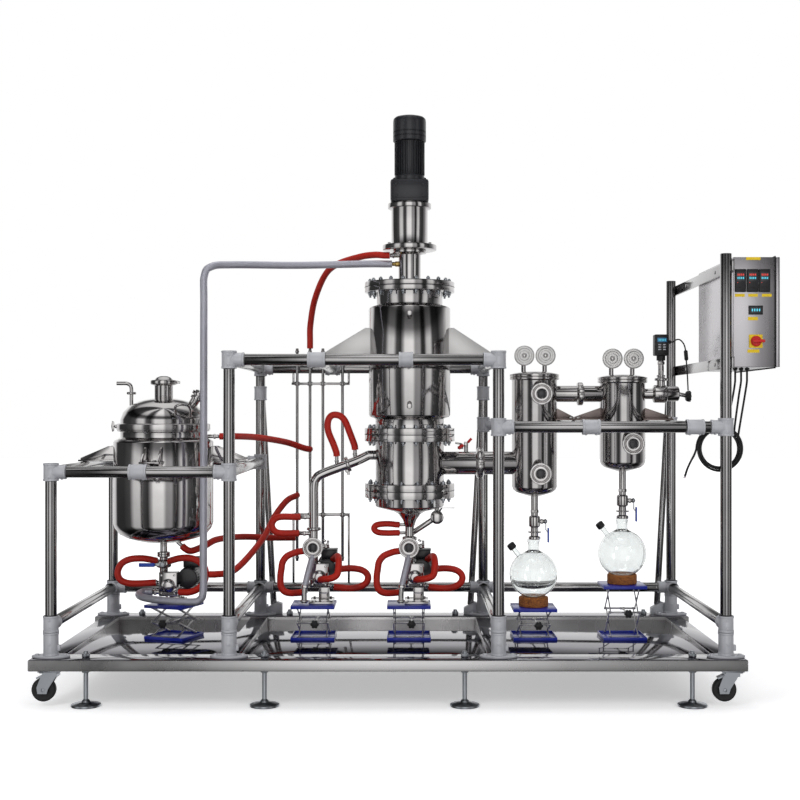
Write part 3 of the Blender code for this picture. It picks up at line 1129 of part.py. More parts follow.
make_base()
make_frames()
make_casters()
make_column()
make_vessel()
make_jacks()
make_pumps()
make_condensers()
make_flasks()
make_cabinet()
make_services()
bpy.context.view_layer.update()
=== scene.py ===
# %% [markdown]
# # A molecular distillation unit
# A drive motor stands on a jacketed evaporator column. Feed comes from the jacketed
# vessel on the left, and the distillate goes to two condensers with round flasks on
# the right. The lesson dresses the fixed frame of solids with rounder, more detailed
# pieces and with node materials. All sizes are metres, Z is up, the front faces -Y.

# %% Load the frame
import math

import bpy
from mathutils import Matrix, Vector


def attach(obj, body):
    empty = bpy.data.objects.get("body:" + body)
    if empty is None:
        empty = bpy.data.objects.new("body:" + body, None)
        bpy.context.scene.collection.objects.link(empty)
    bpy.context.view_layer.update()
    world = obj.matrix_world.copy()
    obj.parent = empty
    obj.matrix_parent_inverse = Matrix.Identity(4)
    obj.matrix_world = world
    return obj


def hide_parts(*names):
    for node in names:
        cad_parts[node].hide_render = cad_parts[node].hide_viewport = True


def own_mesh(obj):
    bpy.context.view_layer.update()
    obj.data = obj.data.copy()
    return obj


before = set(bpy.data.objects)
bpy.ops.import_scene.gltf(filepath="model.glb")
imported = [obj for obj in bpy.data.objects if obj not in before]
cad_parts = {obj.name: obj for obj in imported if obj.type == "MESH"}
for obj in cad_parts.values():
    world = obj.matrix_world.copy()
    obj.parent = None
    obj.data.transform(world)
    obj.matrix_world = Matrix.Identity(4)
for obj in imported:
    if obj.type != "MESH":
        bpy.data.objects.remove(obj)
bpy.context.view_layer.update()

# %% [markdown]
# ## Camera
# The pump row and the rails show that the camera was level and looked straight back.
# A level camera keeps the posts upright, and a small shift moves the frame instead of
# a tilt.

# %% Camera
eye = bpy.data.cameras.new("camera")
eye.lens = 58.5
eye.sensor_width = 36
eye.shift_x = -0.0125
eye.shift_y = 0.015
camera = bpy.data.objects.new("camera", eye)
camera.location = (0.015, -6.035, 1.235)
camera.rotation_euler = (math.radians(90), 0, 0)
bpy.context.scene.collection.objects.link(camera)
bpy.context.scene.camera = camera
bpy.context.scene.view_settings.view_transform = "Standard"

# %% [markdown]
# ## Shaping by hand
# Every new piece starts from a primitive and is shaped with mesh operators. An
# operator works on all that is selected, so each helper first selects nothing.

# %% Start clean
def nothing_selected():
    if bpy.context.mode != "OBJECT":
        bpy.ops.object.mode_set(mode="OBJECT")
    bpy.ops.object.select_all(action="DESELECT")


def only(obj):
    """Select one object alone and make it active."""
    nothing_selected()
    obj.select_set(True)
    bpy.context.view_layer.objects.active = obj


def settle(obj):
    """Put the place of an object into its mesh, with the object at the origin."""
    only(obj)
    bpy.ops.object.transform_apply(location=True, rotation=True, scale=True)
    return obj


def soften(obj, width, angle=50):
    """Round the sharp edges, as a file or a press tool leaves them."""
    only(obj)
    bpy.ops.object.mode_set(mode="EDIT")
    bpy.ops.mesh.select_all(action="DESELECT")
    bpy.ops.mesh.select_mode(type="EDGE")
    bpy.ops.mesh.edges_select_sharp(sharpness=math.radians(angle))
    bpy.ops.mesh.bevel(offset=width, segments=2, affect="EDGES", clamp_overlap=True)
    bpy.ops.object.mode_set(mode="OBJECT")
    return obj


def block(size, centre, edge=0.0015, tilt=(0.0, 0.0)):
    """A box with broken edges, tilted about X and then Y."""
    nothing_selected()
    bpy.ops.mesh.primitive_cube_add(size=1, location=centre, rotation=(*tilt, 0))
    bpy.context.object.scale = size
    return soften(settle(bpy.context.object), edge)


def bar(start, end, radius, sides=32, edge=0.001):
    """A turned bar between two points, with its rims broken."""
    start, end = Vector(start), Vector(end)
    axis = end - start
    nothing_selected()
    bpy.ops.mesh.primitive_cone_add(vertices=sides, radius1=radius, radius2=radius, depth=axis.length,
        location=(start + end) / 2, rotation=axis.to_track_quat("Z", "Y").to_euler())
    return soften(settle(bpy.context.object), min(edge, radius * 0.3))


def pen_line(places):
    """Draw a line through the places, and stay in edit mode with all selected."""
    nothing_selected()
    bpy.ops.mesh.primitive_plane_add(size=0.01, location=(0, 0, 0))
    bpy.ops.object.mode_set(mode="EDIT")
    bpy.ops.mesh.select_mode(type="VERT")
    bpy.ops.mesh.select_all(action="SELECT")
    bpy.ops.mesh.merge(type="CENTER")
    bpy.ops.transform.translate(value=places[0])
    for before, after in zip(places, places[1:]):
        bpy.ops.mesh.extrude_vertices_move(TRANSFORM_OT_translate={"value": after - before})
    bpy.ops.mesh.select_all(action="SELECT")
    return bpy.context.object


def lathe(profile, centre=(0, 0, 0), along=(0, 0, 1), steps=56, closed=False, edge=0.0015):
    """Draw (radius, height) points with extrude, and spin them round the axis."""
    centre, along = Vector(centre), Vector(along).normalized()
    out = along.orthogonal().normalized()
    places = [centre + out * r + along * h for r, h in profile]
    shape = pen_line(places + places[:1] if closed else places)
    bpy.ops.mesh.spin(steps=steps, angle=math.tau, center=centre, axis=along)
    bpy.ops.mesh.select_all(action="SELECT")
    bpy.ops.mesh.remove_doubles(threshold=0.00002)
    bpy.ops.mesh.normals_make_consistent(inside=False)
    bpy.ops.object.mode_set(mode="OBJECT")
    return soften(shape, edge, angle=40) if edge else shape


def flat_plate(outline, thickness, place):
    """Draw an outline in X and Y, fill it and pull it up to a plate."""
    shape = pen_line([Vector((x, y, -thickness / 2)) for x, y in outline])
    bpy.ops.mesh.edge_face_add()
    bpy.ops.mesh.extrude_region_move(TRANSFORM_OT_translate={"value": (0, 0, thickness)})
    bpy.ops.mesh.select_all(action="SELECT")
    bpy.ops.mesh.normals_make_consistent(inside=False)
    bpy.ops.object.mode_set(mode="OBJECT")
    shape.matrix_world = place
    return soften(settle(shape), min(0.001, thickness * 0.25))


def joined(parts):
    nothing_selected()
    for part in parts:
        part.select_set(True)
    bpy.context.view_layer.objects.active = parts[0]
    if len(parts) > 1:
        bpy.ops.object.join()
    return bpy.context.object


def copied(part, place):
    """A copy with its own mesh, moved by a matrix."""
    only(part)
    bpy.ops.object.duplicate()
    twin = bpy.context.object
    twin.matrix_world = place
    return settle(twin)


def cut_out(body, tools):
    """Cut the tools out of the body, as a mill would."""
    for knife in tools:
        only(body)
        modifier = body.modifiers.new("cut", "BOOLEAN")
        modifier.operation = "DIFFERENCE"
        modifier.solver = "EXACT"
        modifier.object = knife
        bpy.ops.object.modifier_apply(modifier="cut")
        bpy.data.objects.remove(knife)
    return body


def made(name, parts, material, body="unit", slot=None):
    """Join the parts to one named piece, give it its finish and let it ride."""
    piece = joined(parts)
    piece.name = name
    piece.data.name = name
    piece.data.materials.clear()
    piece.data.materials.append(material)
    only(piece)
    bpy.ops.object.shade_smooth_by_angle(angle=math.radians(40))
    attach(piece, body)
    print(name, len(piece.data.polygons), "faces")
    return piece


def dressed(node, *facts, **more):
    """Make a piece that takes the place of the named solid."""
    piece = made(*facts, **more)
    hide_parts(node)
    return piece


def about_x(x, y, z):
    """Stand a flat plate up, so that its outline's Y points up."""
    return Matrix.Translation((x, y, z)) @ Matrix.Rotation(math.radians(90), 4, "X")


def about_z(x, y, z, degrees):
    return Matrix.Translation((x, y, z)) @ Matrix.Rotation(math.radians(degrees), 4, "Z")

# %% [markdown]
# ## Shared finishes
# Stainless steel is never one flat grey: it has a fine grain, faint smears and a
# slow change of tone. One group makes those three from Object coordinates, and each
# steel sets its own scale and strength. The shader itself stays in the material.

# %% The surface group
def new_group(name, inputs, outputs):
    group = bpy.data.node_groups.new(name, "ShaderNodeTree")
    for label, kind, value in inputs:
        socket = group.interface.new_socket(label, in_out="INPUT", socket_type=kind)
        socket.default_value = value
    for label, kind in outputs:
        group.interface.new_socket(label, in_out="OUTPUT", socket_type=kind)
    return group, group.nodes.new("NodeGroupInput"), group.nodes.new("NodeGroupOutput")


def tinted(group, factor, low, high):
    """Mix two colours, or the outputs that carry them."""
    mix = group.nodes.new("ShaderNodeMix")
    mix.data_type = "RGBA"
    group.links.new(factor, mix.inputs["Factor"])
    for label, value in (("A", low), ("B", high)):
        socket = [s for s in mix.inputs if s.name == label and s.type == "RGBA"][0]
        if isinstance(value, tuple):
            socket.default_value = (*value, 1)
        else:
            group.links.new(value, socket)
    return [s for s in mix.outputs if s.type == "RGBA"][0]


def ranged(group, value, low, high):
    node = group.nodes.new("ShaderNodeMapRange")
    group.links.new(value, node.inputs["Value"])
    for label, end in (("To Min", low), ("To Max", high)):
        if isinstance(end, (int, float)):
            node.inputs[label].default_value = end
        else:
            group.links.new(end, node.inputs[label])
    return node.outputs["Result"]


def noise(group, vector, scale, detail=3.0):
    node = group.nodes.new("ShaderNodeTexNoise")
    node.inputs["Scale"].default_value = scale
    node.inputs["Detail"].default_value = detail
    group.links.new(vector, node.inputs["Vector"])
    return node.outputs["Fac"]


def wired(tree, kind, *sources, **settings):
    """Add a node, and give its first inputs a link or a value each."""
    node = tree.nodes.new("ShaderNode" + kind)
    for label, value in settings.items():
        setattr(node, label, value)
    for socket, source in zip(node.inputs, sources):
        if isinstance(source, bpy.types.NodeSocket):
            tree.links.new(source, socket)
        else:
            socket.default_value = source
    return node


surface, group_in, group_out = new_group(
    "grain_and_smears",
    [
        ("Light", "NodeSocketColor", (0.6, 0.6, 0.6, 1)),
        ("Dark", "NodeSocketColor", (0.5, 0.5, 0.5, 1)),
        ("Smooth", "NodeSocketFloat", 0.1),
        ("Rough", "NodeSocketFloat", 0.25),
        ("Stretch", "NodeSocketVector", (1, 1, 1)),
        ("Depth", "NodeSocketFloat", 0.1),
    ],
    [("Color", "NodeSocketColor"), ("Roughness", "NodeSocketFloat"), ("Normal", "NodeSocketVector")],
)
place = wired(surface, "TexCoord").outputs["Object"]
stretch = wired(surface, "VectorMath", place, group_in.outputs["Stretch"], operation="MULTIPLY")
grain = noise(surface, stretch.outputs[0], 60, 4)
smears = noise(surface, place, 9, 5)
tone = tinted(surface, smears, group_in.outputs["Dark"], group_in.outputs["Light"])
polish = ranged(surface, smears, group_in.outputs["Smooth"], group_in.outputs["Rough"])
bump = wired(surface, "Bump")
bump.inputs["Distance"].default_value = 0.0006
surface.links.new(group_in.outputs["Depth"], bump.inputs["Strength"])
surface.links.new(grain, bump.inputs["Height"])
for source, label in ((tone, "Color"), (polish, "Roughness"), (bump.outputs["Normal"], "Normal")):
    surface.links.new(source, group_out.inputs[label])


def finish(name, light, dark, smooth, rough, depth=0.1, stretch=(1, 1, 1), metallic=0.0, coat=0.0):
    """A material of its own shader, fed by the shared surface group."""
    material = bpy.data.materials.new(name)
    material.use_nodes = True
    nodes, links = material.node_tree.nodes, material.node_tree.links
    shader = nodes["Principled BSDF"]
    shader.inputs["Metallic"].default_value = metallic
    shader.inputs["Coat Weight"].default_value = coat
    look = nodes.new("ShaderNodeGroup")
    look.node_tree = surface
    values = {"Light": (*light, 1), "Dark": (*dark, 1), "Smooth": smooth, "Rough": rough,
        "Depth": depth, "Stretch": stretch}
    for label, value in values.items():
        look.inputs[label].default_value = value
    for label, target in (("Color", "Base Color"), ("Roughness", "Roughness"), ("Normal", "Normal")):
        links.new(look.outputs[label], shader.inputs[target])
    return material

# %% [markdown]
# The steels differ in polish: the vessels are bright, the tubes a little duller, the
# base rails are brushed along X. The deck's steel colour is painted dark: a painted
# dark reflection, which the rails' top faces take too.

# %% Finishes
mirror_steel = finish("mirror_steel", (0.66, 0.64, 0.64), (0.46, 0.44, 0.44), 0.04, 0.13, 0.03,
    (1, 1, 0.1), 1.0)
tube_steel = finish("tube_steel", (0.47, 0.46, 0.46), (0.33, 0.32, 0.32), 0.08, 0.20, 0.04, (1, 1, 0.1),
    1.0)
rail_steel = finish("rail_steel", (0.66, 0.65, 0.65), (0.52, 0.51, 0.51), 0.20, 0.36, 0.30,
    (0.06, 3, 3), 1.0)
# the deck: steel painted dark with a violet cast, a painted dark reflection
deck_steel = finish("deck_steel", (0.17, 0.16, 0.19), (0.09, 0.085, 0.10), 0.03, 0.10, 0.03,
    (0.1, 1, 1), 1.0)
cast_grey = finish("cast_grey", (0.62, 0.63, 0.66), (0.50, 0.51, 0.54), 0.38, 0.55, 0.45, (2, 2, 2),
    0.35)
zinc = finish("zinc", (0.52, 0.55, 0.58), (0.36, 0.38, 0.41), 0.25, 0.42, 0.15, (1, 1, 1), 1.0)
brass = finish("brass", (0.62, 0.44, 0.16), (0.45, 0.30, 0.09), 0.22, 0.38, 0.10, (1, 1, 1), 1.0)
pale_steel = finish("pale_steel", (0.86, 0.85, 0.84), (0.74, 0.73, 0.72), 0.34, 0.48, 0.15, (0.3, 2, 2),
    0.85)
cabinet_steel = finish("cabinet_steel", (0.60, 0.58, 0.60), (0.50, 0.48, 0.50), 0.22, 0.34, 0.20,
    (3, 3, 0.06), 1.0)
black_enamel = finish("black_enamel", (0.022, 0.023, 0.028), (0.012, 0.012, 0.015), 0.28, 0.46, 0.35,
    (2, 2, 2), 0.0, 0.2)
black_plastic = finish("black_plastic", (0.018, 0.018, 0.020), (0.010, 0.010, 0.012), 0.36, 0.52, 0.25,
    (3, 3, 3))
blue_enamel = finish("blue_enamel", (0.012, 0.030, 0.42), (0.008, 0.018, 0.28), 0.22, 0.38, 0.20,
    (2, 2, 2), 0.0, 0.3)
blue_vinyl = finish("blue_vinyl", (0.02, 0.08, 0.50), (0.012, 0.05, 0.36), 0.35, 0.50, 0.20, (2, 2, 2))
red_silicone = finish("red_silicone", (0.58, 0.020, 0.006), (0.38, 0.010, 0.004), 0.42, 0.60, 0.35,
    (1.5, 1.5, 1.5))
red_plastic = finish("red_plastic", (0.66, 0.02, 0.02), (0.50, 0.012, 0.012), 0.28, 0.42, 0.10,
    (2, 2, 2))
yellow_plate = finish("yellow_plate", (0.86, 0.62, 0.02), (0.76, 0.52, 0.015), 0.35, 0.50, 0.05,
    (2, 2, 2))
black_rubber = finish("black_rubber", (0.022, 0.022, 0.023), (0.010, 0.010, 0.011), 0.50, 0.72, 0.30,
    (2, 2, 2))
warm_metal = finish("warm_metal", (0.36, 0.30, 0.28), (0.22, 0.18, 0.17), 0.30, 0.45, 0.20, (1, 1, 1),
    0.9)
# dark panes: the controllers' windows are dark in their own right; the sight glasses are painted dark,
# a painted shade of the unlit insides
dark_inside = finish("dark_inside", (0.05, 0.05, 0.055), (0.02, 0.02, 0.022), 0.15, 0.30, 0.05)


def add_speckle(material, colour, scale, edge):
    """Flecks of a second colour, as in pressed cork."""
    nodes, links = material.node_tree.nodes, material.node_tree.links
    look = [n for n in nodes if n.type == "GROUP"][0]
    where = nodes.new("ShaderNodeTexCoord").outputs["Object"]
    cells = nodes.new("ShaderNodeTexVoronoi")
    cells.inputs["Scale"].default_value = scale
    links.new(where, cells.inputs["Vector"])
    step = nodes.new("ShaderNodeMapRange")
    step.inputs["From Min"].default_value = edge
    step.inputs["From Max"].default_value = edge + 0.15
    links.new(cells.outputs["Distance"], step.inputs["Value"])
    mixed = tinted(material.node_tree, step.outputs["Result"], look.outputs["Color"], colour)
    links.new(mixed, nodes["Principled BSDF"].inputs["Base Color"])
    return material


cork = add_speckle(finish("cork", (0.62, 0.24, 0.06), (0.44, 0.15, 0.035), 0.75, 0.92, 0.8, (3, 3, 3)),
    (0.14, 0.045, 0.015), 260, 0.42)
print("finishes:", len([m for m in bpy.data.materials if m.use_nodes]))

# %% [markdown]
# The long pipe's sleeve and the pump spouts are wrapped in silver braid. A braid is
# two sets of bands that cross, so two waves over Object coordinates are multiplied.

# %% Braided sleeve, glass and screens
def braided(name, light, dark, metallic):
    """A silver finish whose bump is two sets of crossing bands."""
    material = finish(name, light, dark, 0.36, 0.52, 0.0, (1, 1, 1), metallic)
    nodes, links = material.node_tree.nodes, material.node_tree.links
    where = nodes.new("ShaderNodeTexCoord").outputs["Object"]
    bump = nodes.new("ShaderNodeBump")
    bump.inputs["Strength"].default_value = 0.55
    bump.inputs["Distance"].default_value = 0.0012
    product = nodes.new("ShaderNodeMath")
    product.operation = "MULTIPLY"
    for index, turn in enumerate((0.78, -0.78)):
        mapping = nodes.new("ShaderNodeMapping")
        mapping.inputs["Rotation"].default_value = (0.3, turn, turn)
        wave = nodes.new("ShaderNodeTexWave")
        wave.inputs["Scale"].default_value = 55
        links.new(where, mapping.inputs["Vector"])
        links.new(mapping.outputs["Vector"], wave.inputs["Vector"])
        links.new(wave.outputs["Fac"], product.inputs[index])
    links.new(product.outputs["Value"], bump.inputs["Height"])
    links.new(bump.outputs["Normal"], nodes["Principled BSDF"].inputs["Normal"])
    return material


silver_braid = braided("silver_braid", (0.70, 0.70, 0.78), (0.50, 0.50, 0.58), 0.7)

clear_glass = finish("clear_glass", (0.97, 0.985, 0.98), (0.94, 0.97, 0.965), 0.0, 0.02, 0.0)
for label, value in (("Transmission Weight", 1.0), ("IOR", 1.47)):
    clear_glass.node_tree.nodes["Principled BSDF"].inputs[label].default_value = value


def lit(name, colour, glow):
    """A finish that gives off a little of its own colour."""
    material = finish(name, colour, tuple(c * 0.7 for c in colour), 0.12, 0.2, 0.0)
    shader = material.node_tree.nodes["Principled BSDF"]
    look = [n for n in material.node_tree.nodes if n.type == "GROUP"][0]
    material.node_tree.links.new(look.outputs["Color"], shader.inputs["Emission Color"])
    shader.inputs["Emission Strength"].default_value = glow
    return material


cyan_digits = lit("cyan_digits", (0.10, 0.62, 0.78), 0.6)
blue_window = lit("blue_window", (0.05, 0.22, 0.42), 0.15)
red_marks = lit("red_marks", (0.8, 0.06, 0.05), 0.4)

# %% [markdown]
# ## Floor and light
# The real one was photographed against white. The floor keeps the shadow near the
# unit and fades to white further away. Mirrored rays pass through it, so the steel
# mirrors only the world: panels of light with dark gaps, round the compass and up
# the sky. The camera and the glass see plain white. Three soft lamps, hidden from
# the mirrors, add shape.

# %% Floor, world and lamps
nothing_selected()
bpy.ops.mesh.primitive_plane_add(size=40, location=(0, 8, -0.0005))
floor = bpy.context.object
floor.name = "floor"
floor_paint = finish("floor_paint", (0.93, 0.93, 0.94), (0.91, 0.91, 0.92), 0.60, 0.70, 0.0)
UNIT_SPOT = (0, -8, 0)
SHADE_ENDS, ALL_WHITE = 1.2, 3.4
tree = floor_paint.node_tree
ray = wired(tree, "LightPath")
where = wired(tree, "TexCoord").outputs["Object"]
away = wired(tree, "VectorMath", where, UNIT_SPOT, operation="DISTANCE").outputs["Value"]
fade = wired(tree, "MapRange", away, SHADE_ENDS, ALL_WHITE, 0.44, 0.80, interpolation_type="SMOOTHSTEP")
glow = wired(tree, "Math", ray.outputs["Is Camera Ray"], fade.outputs["Result"], operation="MULTIPLY")
paint = tree.nodes["Principled BSDF"]
paint.inputs["Emission Color"].default_value = (1, 1, 1, 1)
tree.links.new(glow.outputs["Value"], paint.inputs["Emission Strength"])
through = wired(tree, "BsdfTransparent")
blend = wired(tree, "MixShader", ray.outputs["Is Glossy Ray"], paint.outputs["BSDF"],
    through.outputs["BSDF"])
tree.links.new(blend.outputs["Shader"], tree.nodes["Material Output"].inputs["Surface"])
floor.data.materials.append(floor_paint)

world = bpy.data.worlds.new("studio")
bpy.context.scene.world = world
world.use_nodes = True
sky = world.node_tree
sky.nodes.clear()


def bands(source, stops):
    """A ramp of grey stops, which the source runs along."""
    node = wired(sky, "ValToRGB", source)
    ramp = node.color_ramp
    for place, value in stops[2:]:
        ramp.elements.new(place)
    for element, (place, value) in zip(ramp.elements, sorted(stops)):
        element.position, element.color = place, (value, value, value, 1)
    return node.outputs["Color"]


path = wired(sky, "LightPath").outputs
aim = wired(sky, "SeparateXYZ", wired(sky, "TexCoord").outputs["Generated"]).outputs
around = wired(sky, "Math", aim["Y"], aim["X"], operation="ARCTAN2").outputs["Value"]
turned_by = wired(sky, "MapRange", around, -math.pi, math.pi).outputs["Result"]
compass = bands(turned_by, [(0.0, 0.06), (0.05, 0.10), (0.08, 0.85), (0.12, 0.95), (0.145, 0.12),
    (0.18, 0.05), (0.20, 0.55), (0.215, 1.25), (0.275, 1.30), (0.295, 0.45), (0.33, 0.50),
    (0.345, 0.04), (0.37, 0.04), (0.39, 0.80), (0.42, 0.95), (0.44, 0.10), (0.50, 0.04), (0.56, 0.30),
    (0.62, 0.95), (0.80, 1.0), (0.88, 0.90), (0.91, 0.05), (0.97, 0.05)])
raised_by = wired(sky, "MapRange", aim["Z"], -1, 1).outputs["Result"]
height = bands(raised_by, [(0.0, 0.03), (0.18, 0.10), (0.28, 0.70), (0.47, 0.90), (0.52, 1.0),
    (0.66, 1.0), (0.72, 0.20), (0.80, 0.08), (0.86, 0.75), (0.93, 1.0), (1.0, 0.95)])
panels = wired(sky, "VectorMath", compass, height, operation="MULTIPLY").outputs["Vector"]
mirrored = tinted(sky, path["Is Glossy Ray"], (0.42, 0.42, 0.43), panels)
plain = wired(sky, "Math", path["Is Camera Ray"], path["Is Transmission Ray"],
    operation="MAXIMUM").outputs["Value"]
shown = tinted(sky, plain, mirrored, (1, 1, 1))
wired(sky, "OutputWorld", wired(sky, "Background", shown).outputs["Background"])


def soft_lamp(name, place, target, size, power):
    """A large lamp that lights the unit without showing in the steel."""
    lamp = bpy.data.lights.new(name, "AREA")
    lamp.shape = "RECTANGLE"
    lamp.size, lamp.size_y = size
    lamp.energy = power
    obj = bpy.data.objects.new(name, lamp)
    obj.visible_glossy = False
    obj.location = place
    obj.rotation_euler = (Vector(target) - Vector(place)).to_track_quat("-Z", "Y").to_euler()
    bpy.context.scene.collection.objects.link(obj)


soft_lamp("key_lamp", (-3.2, -4.6, 4.2), (0, 0, 1.1), (1.6, 2.6), 95)
soft_lamp("fill_lamp", (4.0, -4.2, 2.6), (0, 0, 1.1), (1.2, 2.6), 50)
soft_lamp("top_lamp", (0.3, -0.2, 5.4), (0, 0, 0.8), (3.4, 2.0), 60)

# %% [markdown]
# ## Hoses and cables
# A hose is a length of something flexible. Each route here repeats the route of its
# solid: straight out of the barb, a sag under its own weight, and squarely into the
# riser. A smooth curve through the route points gives the bends.

# %% Curves for hoses and cables
def smooth_route(points, steps=10):
    """A smooth curve through the points, straight in its first and last stretch."""
    route = [Vector(p) for p in points]
    ends = [route[0] * 2 - route[1]] + route + [route[-1] * 2 - route[-2]]
    fine = [route[0]]
    for i in range(2, len(ends) - 3):
        a, b, c, d = ends[i - 1 : i + 3]
        for step in range(steps):
            t = step / steps
            fine.append(0.5 * (2 * b + (c - a) * t + (2 * a - 5 * b + 4 * c - d) * t**2
                + (3 * b - a - 3 * c + d) * t**3))
    return fine + route[-2:]


def drawn_curve(name, points, radius, material, rings=5):
    """A curve through the points, with a round section."""
    curve = bpy.data.curves.new(name, "CURVE")
    curve.dimensions = "3D"
    curve.bevel_depth = radius
    curve.bevel_resolution = rings
    curve.use_fill_caps = True
    spline = curve.splines.new("POLY")
    spline.points.add(len(points) - 1)
    for point, place in zip(spline.points, points):
        point.co = (*place, 1)
    obj = bpy.data.objects.new(name, curve)
    bpy.context.scene.collection.objects.link(obj)
    curve.materials.append(material)
    return obj


def length_of(points):
    return sum((Vector(b) - Vector(a)).length for a, b in zip(points, points[1:]))


def free_hose(name, points, radius, material, slot, replaced, fine=None, **facts):
    fine = fine or smooth_route(points)
    hose = drawn_curve(name, fine, radius, material)
    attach(hose, "unit")
    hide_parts(*replaced)
    print(name, round(length_of(fine), 3), "m")
    return hose


HOSE_R = 0.0155
hose_routes = {
    "heating_hose_top": [(-0.0788, 0, 1.962), (-0.1028, 0, 1.962), (-0.150, 0.030, 1.968),
        (-0.221, 0.100, 1.967), (-0.333, 0.250, 1.951), (-0.402, 0.350, 1.908),
        (-0.462, 0.470, 1.795), (-0.488, 0.530, 1.674), (-0.490, 0.535, 1.600),
        (-0.490, 0.535, 1.5563)],
    "heating_hose_vessel": [(-0.8687, 0, 1.122), (-0.8447, 0, 1.122), (-0.8027, 0.020, 1.122),
        (-0.716, 0.200, 1.113), (-0.600, 0.400, 1.086), (-0.520, 0.470, 1.056),
        (-0.490, 0.500, 1.048), (-0.490, 0.5267, 1.048)],
    "heating_hose_bottom": [(-1.0425, -0.010, 0.6155), (-1.0278, -0.010, 0.6021),
        (-1.000, 0.006, 0.590), (-0.950, 0.080, 0.606), (-0.902, 0.160, 0.628),
        (-0.808, 0.330, 0.624), (-0.680, 0.470, 0.606), (-0.600, 0.530, 0.600),
        (-0.5633, 0.535, 0.600)],
    "heating_hose_pump": [(-0.9058, -0.072, 0.490), (-0.880, -0.072, 0.490), (-0.800, 0.040, 0.500),
        (-0.701, 0.240, 0.615), (-0.652, 0.370, 0.720), (-0.600, 0.450, 0.792),
        (-0.555, 0.500, 0.815), (-0.555, 0.5267, 0.815)],
}
for hose_name, points in hose_routes.items():
    free_hose(hose_name + "_silicone", points, HOSE_R, red_silicone, "red_silicone", [hose_name],
        far_end="object", stiffness="stiff", lay="loose")

# %% [markdown]
# Three cables come down from the cabinet's glands to a coil that hangs on the right
# post. The coil is one cable whose turns lie round an empty middle, each turn a
# sixth of the way further round the bundle, so no two turns meet. Its end hangs
# free and is stripped to three cores.

# %% Cable coil and cabinet cables
CABLE_R = 0.0045
COIL = Vector((1.325, -0.5293, 1.080))
COIL_R, WIND_R, WINDS = 0.088, 0.0091, 4
first_angle, last_angle = math.radians(62), math.radians(180 + 360 * WINDS)
coil_points = []
for step in range(0, 171):
    share = step / 170
    angle = first_angle + (last_angle - first_angle) * share
    round_bundle = math.radians(90 + 270 * share)
    reach = COIL_R + WIND_R * math.cos(round_bundle)
    coil_points.append(COIL + Vector((reach * math.cos(angle), WIND_R * math.sin(round_bundle),
        reach * math.sin(angle))))
coil_points += smooth_route([tuple(coil_points[-1]), (1.2245, -0.5293, 1.068), (1.216, -0.5293, 1.048),
    (1.201, -0.5293, 1.020), (1.188, -0.5293, 0.990), (1.179, -0.5293, 0.962)])[1:]
cores = []
for spread, core_paint in ((-0.004, brass), (0.0, blue_vinyl), (0.004, red_plastic)):
    core = drawn_curve("core", [(1.180 + spread * 0.3, -0.5293, 0.968), (1.178 + spread, -0.530, 0.955),
        (1.176 + spread * 1.6, -0.531, 0.9585 - 0.0015)], 0.0011, core_paint, 2)
    core.name = f"stripped_core_{len(cores) + 1}"
    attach(core, "unit")
    cores.append(core)
free_hose("coiled_cable", None, CABLE_R, black_rubber, "cable_rubber", ["cable_coil", "cable_tail"],
    fine=coil_points, far_end="bare", stiffness="medium", lay="coiled", with_pieces=cores)

GLANDS = ((1.412, -0.450), (1.440, -0.440), (1.468, -0.430))
for number, (x, y) in enumerate(GLANDS):
    angle = math.radians(62 - 26 * number)
    ex, ey, ez = 1.325 + COIL_R * math.cos(angle), -0.5147, 1.080 + COIL_R * math.sin(angle)
    points = [(x, y, 1.4117), (x, y, 1.370), (x - 0.012, y - 0.006, 1.300),
        (ex + 0.006, ey + 0.034, ez + 0.040), (ex, ey + 0.014, ez), (ex, ey, ez)]
    free_hose(f"gland_cable_{number + 1}", points, CABLE_R, black_rubber, "cable_rubber",
        [f"cabinet_cable_{number + 1}"], far_end="object", stiffness="medium", lay="hanging")

lead = [(1.2263, 0, 1.560), (1.236, 0, 1.560), (1.250, 0, 1.570), (1.268, 0, 1.570), (1.286, 0, 1.550),
    (1.294, 0, 1.520), (1.298, 0, 1.470), (1.303, 0, 1.400), (1.306, 0, 1.3346)]
inline_plug = made("gauge_lead_plug", [lathe([(0, 0.024), (0.006, 0.024), (0.009, 0.019),
    (0.009, -0.019), (0.006, -0.024), (0, -0.024)], (1.2965, 0, 1.498), (-0.004, 0, 0.048), 24)]
    + [bar((1.2965 - 0.004 * t, 0, 1.498 + 0.048 * t),
    (1.2965 - 0.004 * (t + 0.05), 0, 1.498 + 0.048 * (t + 0.05)), 0.0094, sides=24, edge=0.0004)
    for t in (-0.3, -0.15, 0.0, 0.15, 0.3)], black_plastic, slot="cable_rubber")
free_hose("gauge_lead", lead, 0.0032, black_rubber, "cable_rubber", ["gauge_cable"], far_end="object",
    stiffness="medium", lay="loose", with_pieces=[inline_plug])

# %% [markdown]
# ## Base
# Two long rails and four cross rails in brushed box tube carry a thin deck of mirror
# sheet, whose colour is a painted dark reflection; the rails' top faces get the same
# painted dark reflection. Eight screwed feet stand beside four castors; each foot's
# rod comes up through the rail and is locked by two nuts.

# %% Base
POST_Y = 0.575
POST_X = (-1.493, -0.745, 0.387, 1.342)
FOOT_X = (-1.346, -0.596, 0.245, 1.201)
rails = [block((2.991, 0.140, 0.047), (-0.0765, side * 0.575, 0.1815), 0.004) for side in (-1, 1)]
rails += [block((0.085, 1.018, 0.044), (x, 0, 0.1815), 0.003) for x in POST_X]
base_rails = made("base_rails", rails, rail_steel, slot="base_steel")
# the rails' top faces take the deck's painted dark reflection
base_rails.data.materials.append(deck_steel)
for face in base_rails.data.polygons:
    if face.normal.z > 0.9:
        face.material_index = 1
